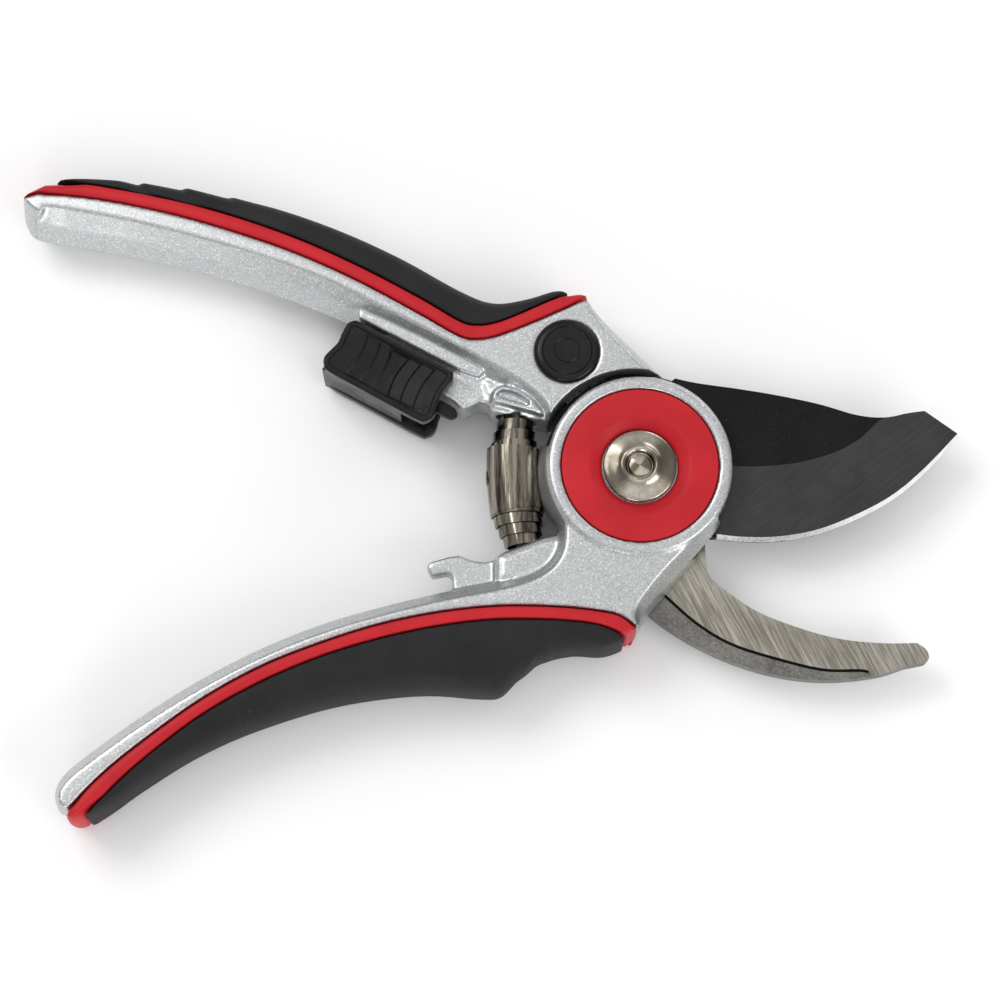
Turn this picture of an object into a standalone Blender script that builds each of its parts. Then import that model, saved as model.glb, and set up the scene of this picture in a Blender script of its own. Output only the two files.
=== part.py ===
"""Bypass pruning shears, shown open and lying on their side.

Frame: metres, +Z up along the pivot bolt. The origin is on the pivot axis, at the flat end of the bolt,
level with the underside of the rear hub ring.
+X points towards the tip of the cutting blade and +Y towards the handle that the blade's spine side faces.
All lengths below are in millimetres and are scaled once, when a mesh is made.
"""

import math

import bmesh
import bpy
from mathutils import Matrix, Vector

MM = 0.001
SEGMENTS = 32  # faces round a turned piece
SMOOTH_STEPS = 3  # points between two given points of a smooth outline
GAP = 0.3  # between pieces that touch
SLIVER = 0.01  # edges shorter than this are merged after each Boolean

# Heights of the layers, from the rear face (low) to the front face (high).
RING_REAR = 0.0
FACE_REAR = 0.8
MIDDLE = 9.2
FACE_FRONT = 17.6
RING_FRONT = 18.4
BOLT_TOP = 18.9
REAR_PLATE_TOP = 5.6
HOOK_LOW = 5.9
HOOK_HIGH = 9.7
BLADE_LOW = 10.0
BLADE_HIGH = 12.8
FRONT_PLATE_UNDERSIDE = 13.1

# Hub.
RING_RADIUS = 19.7
HUB_CLEARANCE_RADIUS = 22.2
CAP_RADIUS = 16.65
CAP_THICKNESS = 2.2
CAP_RECESS_FLOOR = 2.8  # depth of the recess floor below the ring's face
BOLT_HEAD_RADIUS = 7.8
BOLT_HEAD_HEIGHT = 2.2
SHANK_RADIUS = 4.0
BUSH_RADIUS = 5.5
HUB_BORE_RADIUS = 5.8
HEEL_RADIUS = 21.3
HEEL_SHORT_RADIUS = 20.2

# Screws that hold the two blades, each under a round cap on the opposite face.
HOOK_SCREW = (-15.3, 25.3)
HOOK_CAP_RADIUS = 6.7
BLADE_SCREW = (-12.8, -25.2)
BLADE_CAP_RADIUS = 4.9
SCREW_HEAD_SHARE = 0.68  # of its cap's radius
SCREW_SHANK_RADIUS = 2.2
TANG_HALF_WIDTH = 4.9
TANG_ROOM = 0.4  # above and below a blade's tang in its casting

# Rail that carries the lock: a straight line along the upper handle, its start and its slope.
RAIL_START = (-60.5, 34.6)
RAIL_ANGLE = math.radians(-28.3)
RAIL_WEB = (5.0, 13.4)
SLIDER_FRONT = (13.8, 16.8)
SLIDER_REAR = (1.6, 4.6)

# Latch arm on the lower handle, and the blocks that the spring stands between.
LATCH_WEB = (6.4, 11.2)
UPPER_SEAT = (3.4, 15.0)
LOWER_SEAT = (3.6, 14.8)

# Volute spring: three points on its bowed axis and its widths.
SPRING_LOW = Vector((-24.8, -14.6))
SPRING_MIDDLE = Vector((-26.7, -0.6))
SPRING_HIGH = Vector((-26.0, 13.6))
SPRING_RADII = (3.7, 4.2, 4.7, 5.2, 5.9, 5.9, 5.9, 5.9, 5.9, 5.3, 4.6, 4.0, 3.5)
SPRING_BORE = 1.9
PEG_RADIUS = 1.5

# Outline points are (x, y, inset): the inset is how far the flat faces stand back from the edge there.
# Profiles are (height, share of that inset).
CAST_PROFILE = ((FACE_REAR, 1.0), (4.3, 0.12), (MIDDLE, 0.0), (14.1, 0.12), (FACE_FRONT, 1.0))
PAD_PROFILE = ((0.6, 1.0), (1.6, 0.56), (4.2, 0.16), (MIDDLE, 0.0), (14.2, 0.16), (16.8, 0.56), (17.8, 1.0))
TRIM_PROFILE = ((0.6, 1.0), (1.6, 0.0), (16.8, 0.0), (17.8, 1.0))

# Lines that the casting, the trim strip and the pad of each handle share, from the hub to the handle's end.
UPPER_TRIM_INNER = (
    (-12.5, 36.6), (-21.1, 32.6), (-29.7, 29.1), (-34.0, 28.2), (-38.3, 28.8), (-46.9, 33.8), (-59.8, 41.0),
    (-72.9, 47.2), (-85.9, 52.0), (-99.0, 56.0), (-111.0, 58.8), (-120.8, 60.4), (-130.0, 61.1),
)
UPPER_TRIM_OUTER = (
    (-16.8, 37.9), (-25.4, 33.9), (-30.5, 31.9), (-34.5, 31.3), (-38.3, 32.2), (-46.9, 37.4), (-59.9, 44.5),
    (-72.9, 50.6), (-86.0, 55.5), (-99.1, 59.3), (-112.2, 62.1), (-120.9, 63.6), (-125.3, 64.2),
)
LOWER_TRIM_INNER = (
    (-0.8, -34.9), (-4.6, -32.4), (-8.7, -31.4), (-17.1, -30.5), (-29.7, -30.3), (-42.3, -31.6),
    (-54.8, -34.2), (-67.3, -38.2), (-79.8, -43.3), (-92.1, -50.3), (-104.3, -59.3), (-112.4, -66.2),
    (-119.0, -73.2),
)
LOWER_TRIM_OUTER = (
    (-4.2, -36.3), (-8.8, -34.4), (-17.1, -33.4), (-29.7, -33.2), (-42.3, -34.6), (-54.8, -37.3),
    (-67.3, -41.2), (-79.7, -46.6), (-92.0, -53.7), (-104.2, -63.3), (-112.3, -71.1), (-116.0, -75.2),
)


def clear_scene():
    for obj in list(bpy.data.objects):
        bpy.data.objects.remove(obj, do_unlink=True)


def make_material(name, colour, roughness, metallic):
    material = bpy.data.materials.new(name)
    material.use_nodes = True
    shader = material.node_tree.nodes["Principled BSDF"]
    shader.inputs["Base Color"].default_value = (*colour, 1.0)
    shader.inputs["Roughness"].default_value = roughness
    shader.inputs["Metallic"].default_value = metallic
    return material


def make_empty(name, location=(0.0, 0.0, 0.0), parent=None):
    empty = bpy.data.objects.new(name, None)
    bpy.context.scene.collection.objects.link(empty)
    empty.location = [value * MM for value in location]
    empty.parent = parent
    return empty


def finish_mesh(name, mesh, material, parent):
    """Scales a millimetre mesh to metres, shades it and hangs it from its parent."""
    shape = bmesh.new()
    shape.from_mesh(mesh)
    bmesh.ops.scale(shape, vec=(MM, MM, MM), verts=shape.verts)
    bmesh.ops.recalc_face_normals(shape, faces=shape.faces)
    shape.to_mesh(mesh)
    shape.free()
    mesh.materials.clear()
    mesh.materials.append(material)
    mesh.shade_smooth()
    mesh.set_sharp_from_angle(angle=math.radians(30))
    obj = bpy.data.objects.new(name, mesh)
    bpy.context.scene.collection.objects.link(obj)
    obj.parent = parent
    if parent is not None:
        obj.location = -parent.location
    return obj


# Outlines.


def smooth_run(points, steps=SMOOTH_STEPS):
    """A Catmull-Rom curve through points of any dimension, without the last point."""
    ends = [points[0], *points, points[-1]]
    run = []
    for before, start, end, after in zip(ends, ends[1:], ends[2:], ends[3:]):
        for step in range(steps):
            t = step / steps
            weights = (2 * t**2 - t - t**3, 2 - 5 * t**2 + 3 * t**3, t + 4 * t**2 - 3 * t**3, t**3 - t**2)
            corners = zip(before, start, end, after)
            run.append(tuple(0.5 * sum(w * value for w, value in zip(weights, four)) for four in corners))
    return run


def arc(centre, radius, start, end, count, inset=0.0):
    """Points on an arc, from one angle to another in degrees, both included."""
    angles = [math.radians(start + (end - start) * step / count) for step in range(count + 1)]
    return [(centre[0] + radius * math.cos(a), centre[1] + radius * math.sin(a), inset) for a in angles]


def with_inset(points, inset=0.0):
    return [(x, y, inset) for x, y in points]


def offset_outline(outline, share, shrink):
    """The outline moved inwards by shrink and by a share of each point's own inset, with mitred corners."""
    count = len(outline)
    moved = []
    for index in range(count):
        here = Vector(outline[index][:2])
        into = (here - Vector(outline[index - 1][:2])).normalized()
        out = (Vector(outline[(index + 1) % count][:2]) - here).normalized()
        normal = Vector((-into.y - out.y, into.x + out.x)).normalized()
        mitre = max(0.5, normal.dot(Vector((-into.y, into.x))))
        moved.append(here + normal * (shrink + share * outline[index][2]) / mitre)
    return moved


def slab_mesh(outline, profile, shrink=0.0):
    """A closed slab whose edge follows a counter-clockwise outline at each height of a profile."""
    shape = bmesh.new()
    loops = []
    for height, share in profile:
        points = offset_outline(outline, share, shrink)
        loops.append([shape.verts.new((point.x, point.y, height)) for point in points])
    for low, high in zip(loops, loops[1:]):
        for index in range(len(low)):
            after = (index + 1) % len(low)
            shape.faces.new((low[index], low[after], high[after], high[index]))
    bmesh.ops.triangulate(shape, faces=shape.faces)  # a sloping edge's four-sided faces aren't quite flat
    shape.faces.new(reversed(loops[0]))
    shape.faces.new(loops[-1])
    mesh = bpy.data.meshes.new("slab")
    shape.to_mesh(mesh)
    shape.free()
    return mesh


def plate_mesh(outline, low, high, edge=0.0, shrink=0.0):
    """A flat plate with an optional bevelled edge."""
    flat = [(x, y, edge) for x, y, *_ in outline]
    if edge:
        return slab_mesh(flat, ((low, 1.0), (low + edge, 0.0), (high - edge, 0.0), (high, 1.0)), shrink)
    return slab_mesh(flat, ((low, 0.0), (high, 0.0)), shrink)


def turned_mesh(profile, centre=(0.0, 0.0), segments=SEGMENTS):
    """A turned piece: (radius, height) points round a closed section, or from axis to axis."""
    shape = bmesh.new()
    rings = []
    for radius, height in profile:
        if radius == 0.0:
            rings.append([shape.verts.new((centre[0], centre[1], height))])
            continue
        angles = [2 * math.pi * step / segments for step in range(segments)]
        rings.append([
            shape.verts.new((centre[0] + radius * math.cos(a), centre[1] + radius * math.sin(a), height))
            for a in angles
        ])
    pairs = list(zip(rings, rings[1:]))
    if profile[0][0] > 0.0:
        pairs.append((rings[-1], rings[0]))
    for first, second in pairs:
        for index in range(segments):
            after = (index + 1) % segments
            corners = [first[index % len(first)], first[after % len(first)]]
            corners += [second[after % len(second)], second[index % len(second)]]
            unique = list(dict.fromkeys(corners))
            shape.faces.new(unique)
    bmesh.ops.recalc_face_normals(shape, faces=shape.faces)
    mesh = bpy.data.meshes.new("turned")
    shape.to_mesh(mesh)
    shape.free()
    return mesh


def disc_mesh(radius, low, high, centre=(0.0, 0.0), edge=0.0, segments=SEGMENTS):
    if edge:
        profile = ((0.0, low), (radius - edge, low), (radius, low + edge), (radius, high - edge),
                   (radius - edge, high), (0.0, high))
    else:
        profile = ((0.0, low), (radius, low), (radius, high), (0.0, high))
    return turned_mesh(profile, centre, segments)


def swept_mesh(centres, outer, inner, segments=SEGMENTS // 2):
    """A tube round a line of (x, y) centres at mid-height, with its own outer radius at each centre."""
    shape = bmesh.new()

    def ring(index, radius):
        before = centres[max(index - 1, 0)]
        after = centres[min(index + 1, len(centres) - 1)]
        along = (after - before).normalized()
        side = Vector((along.y, -along.x))
        angles = [2 * math.pi * step / segments for step in range(segments)]
        return [
            shape.verts.new((*(centres[index] + side * radius * math.cos(a)), MIDDLE + radius * math.sin(a)))
            for a in angles
        ]

    last = len(centres) - 1
    rings = [ring(index, outer[index]) for index in range(last + 1)]
    rings += [ring(index, inner) for index in (last, last // 2, 0)]
    for first, second in zip(rings, rings[1:] + rings[:1]):
        for index in range(segments):
            after = (index + 1) % segments
            shape.faces.new((first[index], first[after], second[after], second[index]))
    bmesh.ops.recalc_face_normals(shape, faces=shape.faces)
    mesh = bpy.data.meshes.new("swept")
    shape.to_mesh(mesh)
    shape.free()
    return mesh


def combine(base, steps):
    """Applies (operation, mesh) Booleans to a mesh, one after another, and returns the result."""
    result = base
    for operation, mesh in steps:
        body = bpy.data.objects.new("working_body", result)
        tool = bpy.data.objects.new("working_tool", mesh)
        tool.hide_render = True
        tool.display_type = "WIRE"
        for obj in (body, tool):
            bpy.context.scene.collection.objects.link(obj)
        modifier = body.modifiers.new(operation, "BOOLEAN")
        modifier.operation = operation
        modifier.object = tool
        evaluated = body.evaluated_get(bpy.context.evaluated_depsgraph_get())
        result = bpy.data.meshes.new_from_object(evaluated)
        for obj in (body, tool):
            bpy.data.objects.remove(obj, do_unlink=True)
        shape = bmesh.new()
        shape.from_mesh(result)
        bmesh.ops.remove_doubles(shape, verts=shape.verts, dist=SLIVER)
        bmesh.ops.dissolve_degenerate(shape, edges=shape.edges, dist=SLIVER)
        shape.to_mesh(result)
        shape.free()
    return result


# Shared curves and places.


def rail_point(along, below, inset=0.0):
    """A place given by its distance along the lock's rail and below it, square to the rail."""
    direction = Vector((math.cos(RAIL_ANGLE), math.sin(RAIL_ANGLE)))
    down = Vector((direction.y, -direction.x))
    place = Vector(RAIL_START) + direction * along + down * below
    return (place.x, place.y, inset)


def rail_outline(points):
    """An outline from (along, below) points of the rail."""
    return [rail_point(*point) for point in points]


def tang_direction(screw):
    """The direction of a screw from the pivot, and half the angle that its tang takes at the heel's edge."""
    direction = math.degrees(math.atan2(screw[1], screw[0]))
    half = math.degrees(math.asin(TANG_HALF_WIDTH / HEEL_SHORT_RADIUS))
    return direction, half


def tang_end(screw):
    """The half circle that ends a blade's tang, on the side of the screw away from the pivot."""
    toward = tang_direction(screw)[0]
    return arc(screw, TANG_HALF_WIDTH, toward + 90, toward - 90, 10)


def tang_outline(screw):
    """A strip from the pivot to a screw, with a round end about the screw."""
    side = Vector((-screw[1], screw[0])).normalized() * TANG_HALF_WIDTH
    return [(-side.x, -side.y, 0.0), *tang_end(screw)[::-1], (side.x, side.y, 0.0)]


def spring_axis(count):
    """Points on the spring's bowed axis, a parabola through its three given points."""
    points = []
    for step in range(count):
        t = step / (count - 1)
        weights = ((1 - t) * (1 - 2 * t), 4 * t * (1 - t), t * (2 * t - 1))
        points.append(SPRING_LOW * weights[0] + SPRING_MIDDLE * weights[1] + SPRING_HIGH * weights[2])
    return points


def rod_mesh(start, end, radius, segments=16):
    """A plain cylinder between two (x, y) points at mid-height."""
    shape = bmesh.new()
    length = (end - start).length
    size = {"radius1": radius, "radius2": radius, "depth": length}
    bmesh.ops.create_cone(shape, cap_ends=True, segments=segments, **size)
    turn = Vector((0, 0, 1)).rotation_difference(Vector((*(end - start), 0.0)))
    centre = (end + start) / 2
    place = Matrix.Translation((centre.x, centre.y, MIDDLE)) @ turn.to_matrix().to_4x4()
    bmesh.ops.transform(shape, matrix=place, verts=shape.verts)
    mesh = bpy.data.meshes.new("rod")
    shape.to_mesh(mesh)
    shape.free()
    return mesh


# Castings.

UPPER_INNER_SIDE = (
    (-134.2, 60.0, 1.0), (-134.3, 57.6, 2.0), (-132.6, 55.3, 3.2), (-129.5, 54.3, 3.6), (-122.5, 52.9, 3.6),
    (-109.2, 50.4, 3.6), (-95.9, 47.1, 3.5), (-82.6, 43.2, 3.4), (-69.3, 38.3, 3.4), (-60.5, 34.0, 3.4),
    (-47.0, 27.0, 3.3), (-34.0, 19.9, 3.2), (-27.0, 16.0, 3.0), (-21.8, 12.8, 2.0), (-19.4, 9.6, 0.8),
)
UPPER_RIGHT_SIDE = (
    (8.9, 17.9, 0.8), (4.6, 22.7, 2.6), (-3.9, 31.2, 2.6), (-8.1, 35.4, 2.0), (-10.6, 37.5, 0.8),
)
UPPER_CORE = (
    (-22.0, 31.0), (-24.0, 34.0), (-30.0, 34.2), (-37.0, 35.5), (-43.0, 39.5), (-52.0, 44.5), (-62.0, 49.0),
    (-74.0, 53.2), (-86.0, 57.0), (-98.0, 60.0), (-110.0, 62.0), (-118.0, 62.4), (-118.0, 58.0),
    (-98.0, 53.5), (-74.0, 44.5), (-52.0, 33.5), (-40.0, 26.5), (-33.0, 25.0), (-26.0, 27.5),
)
LOWER_INNER_SIDE = (
    (-18.0, -4.0, 0.8), (-18.0, -12.6, 2.0), (-19.3, -17.6, 3.2), (-22.5, -20.9, 3.4), (-29.3, -23.3, 3.4),
    (-42.4, -25.9, 3.4), (-55.1, -29.0, 3.4), (-67.7, -32.8, 3.4), (-80.3, -38.0, 3.4), (-92.8, -44.6, 3.3),
    (-105.1, -52.5, 3.2), (-116.4, -61.0, 3.0), (-121.2, -65.4, 2.8), (-122.7, -69.5, 2.0),
    (-121.6, -73.2, 1.0),
)
LOWER_RIGHT_SIDE = (
    (-0.3, -34.5, 1.0), (1.4, -31.8, 2.8), (8.2, -23.9, 3.4), (15.5, -15.2, 2.0), (17.4, -11.6, 0.6),
)
LOWER_CORE = (
    (-107.0, -60.0), (-109.0, -67.6), (-100.0, -61.4), (-88.0, -54.0), (-74.0, -48.6), (-59.0, -45.2),
    (-45.0, -43.6), (-33.0, -43.8), (-27.0, -41.6), (-19.0, -36.9), (-11.0, -34.6), (-10.5, -29.5),
    (-15.0, -28.0), (-35.0, -27.8), (-55.0, -31.0), (-74.0, -38.0), (-92.0, -47.5),
)
CORE_HEIGHTS = (4.6, 13.8)
HOOK_NECK = ((13.8, -10.0), (15.5, -24.0), (10.0, -37.5), (1.2, -30.6), (-5.5, -22.0), (-2.0, -12.0))


def upper_body_outline():
    hub = [(-13.0, 4.0, 0.0), (-6.0, 2.0, 0.0), (4.0, 8.0, 0.0)]
    inner = smooth_run(UPPER_INNER_SIDE) + [UPPER_INNER_SIDE[-1]]
    right = smooth_run(UPPER_RIGHT_SIDE) + [UPPER_RIGHT_SIDE[-1]]
    return inner + hub + right + with_inset(smooth_run(UPPER_TRIM_INNER)) + [(-130.0, 61.1, 0.0)]


def lower_body_outline():
    hub = [(13.0, -3.0, 0.0), (0.0, 4.0, 0.0), (-14.0, 3.0, 0.0)]
    trim = with_inset(smooth_run(LOWER_TRIM_INNER[::-1]))
    right = smooth_run(LOWER_RIGHT_SIDE) + [LOWER_RIGHT_SIDE[-1]]
    return smooth_run(LOWER_INNER_SIDE) + [LOWER_INNER_SIDE[-1]] + trim + right + hub


def screw_seat(centre, cap_radius, face, into):
    """Cutters for a cap recess, a counterbore and a blind hole, going from a face up (+1) or down (-1)."""
    steps = []
    head_radius = cap_radius * SCREW_HEAD_SHARE
    for radius, depth in ((cap_radius, 0.9), (head_radius, 4.5), (SCREW_SHANK_RADIUS, 14.4)):
        ends = sorted((face - 3 * into, face + depth * into))
        steps.append(("DIFFERENCE", disc_mesh(radius + GAP, *ends, centre, segments=24)))
    return steps


def hub_steps(ring_face, inner_face, into):
    """Joins a hub plate with a raised ring to a casting and cuts its recess. Into is 1 if it faces down."""
    plate = sorted((ring_face, inner_face + 2 * into))
    recess = sorted((ring_face - 2 * into, ring_face + CAP_RECESS_FLOOR * into))
    clear = sorted((inner_face, inner_face + 30 * into))
    return [
        ("UNION", disc_mesh(RING_RADIUS, *plate, edge=0.5, segments=48)),
        ("DIFFERENCE", disc_mesh(HUB_CLEARANCE_RADIUS, *clear, segments=48)),
        ("DIFFERENCE", disc_mesh(CAP_RADIUS + GAP, *recess, segments=48)),
        ("DIFFERENCE", disc_mesh(HUB_BORE_RADIUS, -5, 30)),
    ]


def upper_handle_mesh():
    rail = [
        (7.4, 6.8), (24.0, 6.8), (27.5, 7.0), (29.5, 7.6), (31.0, 6.6), (32.4, 4.6), (34.5, 3.8),
        (37.0, 4.2), (37.0, -4.0), (7.4, -4.0),
    ]
    seat = (
        (-34.0, 20.5), (-32.4, 15.0), (-30.4, 12.8), (-21.0, 11.0), (-19.2, 11.6), (-17.5, 17.0),
        (-24.0, 20.0),
    )
    tang_room = (HOOK_LOW - TANG_ROOM, HOOK_HIGH + TANG_ROOM)
    axis = spring_axis(len(SPRING_RADII))
    top = (axis[-1] - axis[-2]).normalized()
    steps = [
        ("UNION", plate_mesh(with_inset(UPPER_CORE), *CORE_HEIGHTS)),
        ("UNION", plate_mesh(with_inset(seat), *UPPER_SEAT, edge=0.6)),
        ("UNION", plate_mesh(rail_outline(rail), *RAIL_WEB, edge=0.5)),
        *hub_steps(RING_REAR, REAR_PLATE_TOP, 1),
        ("DIFFERENCE", plate_mesh(tang_outline(HOOK_SCREW), *tang_room, shrink=-GAP)),
        ("DIFFERENCE", rod_mesh(axis[-1] - top * 6, axis[-1] + top, SPRING_RADII[-1] + 0.7, 24)),
        ("UNION", rod_mesh(axis[-1] - top * 2.0, axis[-1] + top * 2.5, PEG_RADIUS)),
        *screw_seat(HOOK_SCREW, HOOK_CAP_RADIUS, FACE_FRONT, -1),
    ]
    return combine(slab_mesh(upper_body_outline(), CAST_PROFILE, GAP / 2), steps)


def lower_handle_mesh():
    latch = (
        (-45.4, -20.4), (-44.2, -22.6), (-40.9, -21.9), (-40.0, -22.6), (-39.4, -28.0), (-24.0, -27.0),
        (-24.0, -20.0), (-29.0, -18.0), (-30.6, -18.9), (-33.0, -19.5), (-35.8, -19.1), (-38.4, -18.0),
        (-40.5, -18.3), (-44.4, -19.4),
    )
    seat = (
        (-30.8, -25.0), (-30.8, -19.0), (-29.3, -17.9), (-20.4, -14.4), (-16.0, -13.6), (-14.0, -22.0),
        (-22.0, -26.0),
    )
    tang_room = (BLADE_LOW - TANG_ROOM, BLADE_HIGH + TANG_ROOM)
    axis = spring_axis(len(SPRING_RADII))
    low = (axis[0] - axis[1]).normalized()
    steps = [
        ("UNION", plate_mesh(with_inset(LOWER_CORE), *CORE_HEIGHTS)),
        ("UNION", plate_mesh(with_inset(seat), *LOWER_SEAT, edge=0.6)),
        ("UNION", plate_mesh(with_inset(latch), *LATCH_WEB, edge=0.5)),
        *hub_steps(RING_FRONT, FRONT_PLATE_UNDERSIDE, -1),
        ("DIFFERENCE", plate_mesh(tang_outline(BLADE_SCREW), *tang_room, shrink=-GAP)),
        ("DIFFERENCE", plate_mesh(with_inset(HOOK_NECK[::-1]), -4.0, BLADE_LOW, shrink=-GAP)),
        ("UNION", rod_mesh(axis[0] - low * 2.0, axis[0] + low * 3.0, PEG_RADIUS)),
        *screw_seat(BLADE_SCREW, BLADE_CAP_RADIUS, FACE_REAR, 1),
    ]
    return combine(slab_mesh(lower_body_outline(), CAST_PROFILE, GAP / 2), steps)


# Grips.


def upper_trim_outline():
    inner = with_inset(smooth_run(UPPER_TRIM_INNER)[::-1], 0.3)
    outer = with_inset(smooth_run(UPPER_TRIM_OUTER), 0.2)
    hub_end = [(-10.6, 37.9, 0.3), (-12.2, 39.0, 0.6)]
    tip = [
        (-126.9, 65.6, 1.0), (-130.4, 63.9, 1.2), (-133.0, 61.9, 1.0), (-133.9, 60.5, 0.4),
        (-130.0, 61.1, 0.3),
    ]
    return inner + hub_end + outer + tip


def upper_pad_outline():
    edge = with_inset(smooth_run(UPPER_TRIM_OUTER)[::-1])
    back = smooth_run((
        (-14.4, 39.6, 1.6), (-18.0, 40.3, 3.6), (-24.0, 38.6, 4.4), (-31.0, 37.7, 4.6), (-38.0, 40.4, 4.8),
        (-51.0, 47.9, 5.0), (-64.5, 54.3, 4.8), (-79.0, 59.5, 4.4), (-95.0, 63.4, 3.8), (-110.0, 65.2, 3.0),
        (-121.0, 65.9, 1.8), (-125.6, 65.2, 0.6),
    ))
    return edge + back


def lower_trim_outline():
    inner = with_inset(smooth_run(LOWER_TRIM_INNER), 0.3)
    outer = with_inset(smooth_run(LOWER_TRIM_OUTER[::-1]), 0.2)
    tip = [(-119.0, -73.2, 0.3), (-119.7, -74.2, 0.6), (-118.3, -75.6, 1.2), (-116.4, -75.9, 0.8)]
    hub_end = [(-4.2, -36.3, 0.3), (-3.0, -36.8, 0.8)]
    return inner + tip + outer + hub_end


def lower_pad_outline():
    edge = with_inset(smooth_run(LOWER_TRIM_OUTER))
    back = smooth_run((
        (-115.7, -75.4, 0.8), (-110.8, -72.6, 2.6), (-104.0, -67.8, 3.8), (-93.0, -60.9, 4.4),
        (-80.3, -55.2, 4.8), (-63.5, -50.1, 5.0), (-46.6, -47.9, 5.0), (-34.0, -48.6, 4.8),
        (-29.4, -48.2, 4.2), (-25.5, -44.3, 3.6), (-21.0, -41.0, 3.4), (-14.5, -39.2, 3.2),
        (-8.0, -38.9, 2.4), (-4.9, -37.3, 1.0),
    ))
    return edge + back


def grip_mesh(outline, profile, core):
    """A grip piece with the room for the casting's core rib cut out of it."""
    cut = plate_mesh(with_inset(core), CORE_HEIGHTS[0] - GAP, CORE_HEIGHTS[1] + GAP, shrink=-GAP)
    return combine(slab_mesh(counter_clockwise(outline), profile, GAP / 2), [("DIFFERENCE", cut)])


def counter_clockwise(outline):
    area = sum(a[0] * b[1] - b[0] * a[1] for a, b in zip(outline, outline[1:] + outline[:1]))
    return outline if area > 0 else outline[::-1]


# Blades.


def cutting_blade_mesh():
    spine = smooth_run((
        (13.0, 19.3, 0.0), (21.9, 18.2, 0.0), (30.5, 16.7, 0.0), (39.0, 14.8, 0.0), (47.0, 12.3, 0.0),
        (52.9, 11.9, 0.0), (58.0, 13.0, 0.0), (61.5, 13.4, 0.0),
    ))
    edge = smooth_run((
        (69.1, 8.2, 0.0), (61.5, 0.2, 0.0), (54.6, -5.6, 0.0), (46.9, -9.9, 0.0), (38.3, -13.3, 0.0),
        (29.8, -14.9, 0.0), (22.0, -15.0, 0.0),
    ))
    toward, half = tang_direction(BLADE_SCREW)
    heel = arc((0, 0), HEEL_SHORT_RADIUS, -44, toward + half, 6) + tang_end(BLADE_SCREW)
    heel += arc((0, 0), HEEL_SHORT_RADIUS, toward - half, -205, 8) + arc((0, 0), HEEL_RADIUS, -212, -296, 14)
    outline = spine + [(61.5, 13.4, 0.0)] + edge + heel
    plate = plate_mesh(counter_clockwise(outline), BLADE_LOW, BLADE_HIGH)
    holes = [
        ("DIFFERENCE", disc_mesh(HUB_BORE_RADIUS, 5, 18)),
        ("DIFFERENCE", disc_mesh(SCREW_SHANK_RADIUS + GAP, 5, 18, BLADE_SCREW, segments=24)),
    ]
    return combine(plate, holes)


def counter_blade_mesh():
    mouth = smooth_run((
        (14.2, -19.8, 0.0), (16.2, -23.8, 0.0), (24.4, -29.7, 0.0), (33.9, -33.6, 0.0), (42.3, -35.9, 0.0),
        (50.7, -36.8, 0.0), (58.6, -36.8, 0.0),
    ))
    tip = [(60.5, -38.3, 0.0), (61.0, -40.0, 0.0), (60.3, -40.9, 0.0)]
    back = smooth_run((
        (56.1, -41.8, 0.0), (50.0, -43.7, 0.0), (41.0, -44.7, 0.0), (33.0, -44.3, 0.0), (25.5, -42.8, 0.0),
        (17.1, -39.8, 0.0), (8.6, -35.3, 0.0), (1.9, -30.2, 0.0), (-4.5, -22.0, 0.0),
    ))
    toward, half = tang_direction(HOOK_SCREW)
    heel = arc((0, 0), HEEL_SHORT_RADIUS, -105, toward + half - 360, 14) + tang_end(HOOK_SCREW)
    heel += arc((0, 0), HEEL_SHORT_RADIUS, toward - half, -46, 16)
    outline = mouth + tip + back + heel
    plate = plate_mesh(counter_clockwise(outline), HOOK_LOW, HOOK_HIGH)
    holes = [
        ("DIFFERENCE", disc_mesh(HUB_BORE_RADIUS, 0, 18)),
        ("DIFFERENCE", disc_mesh(SCREW_SHANK_RADIUS + GAP, 0, 18, HOOK_SCREW, segments=24)),
    ]
    return combine(plate, holes)


# Pivot and screws.


def hub_cap_profile(ring_face, into):
    """A dished cap: flat rim, a cone down to the hole, seen from its ring face."""
    outer, hole, cone = CAP_RADIUS, BOLT_HEAD_RADIUS + GAP, 10.4
    face, back = 0.3, 0.3 + CAP_THICKNESS
    section = (
        (hole, back), (hole, face + 0.7), (cone, face), (outer - 0.4, face), (outer, face + 0.4),
        (outer, back),
    )
    return [(radius, ring_face + depth * into) for radius, depth in section]


def bolt_mesh():
    head_low = BOLT_TOP - BOLT_HEAD_HEIGHT
    socket_floor = BOLT_TOP - 1.2
    return turned_mesh((
        (0.0, RING_REAR), (SHANK_RADIUS - 0.4, RING_REAR), (SHANK_RADIUS, RING_REAR + 0.4),
        (SHANK_RADIUS, head_low), (BOLT_HEAD_RADIUS - 0.5, head_low), (BOLT_HEAD_RADIUS, head_low + 0.5),
        (BOLT_HEAD_RADIUS, BOLT_TOP - 1.1), (3.9, BOLT_TOP - 0.5), (3.7, BOLT_TOP), (3.0, BOLT_TOP),
        (2.8, socket_floor), (0.0, socket_floor),
    ))


def nut_mesh():
    outline = arc((0, 0), BOLT_HEAD_RADIUS, 0, 350, 35)
    nut = plate_mesh(outline, RING_REAR, RING_REAR + 1.7, edge=0.3)
    return combine(nut, [("DIFFERENCE", disc_mesh(SHANK_RADIUS + GAP, -3, 5))])


def ring_mesh(inner, outer, low, high):
    return turned_mesh(((inner, low), (outer, low), (outer, high), (inner, high)))


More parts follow.
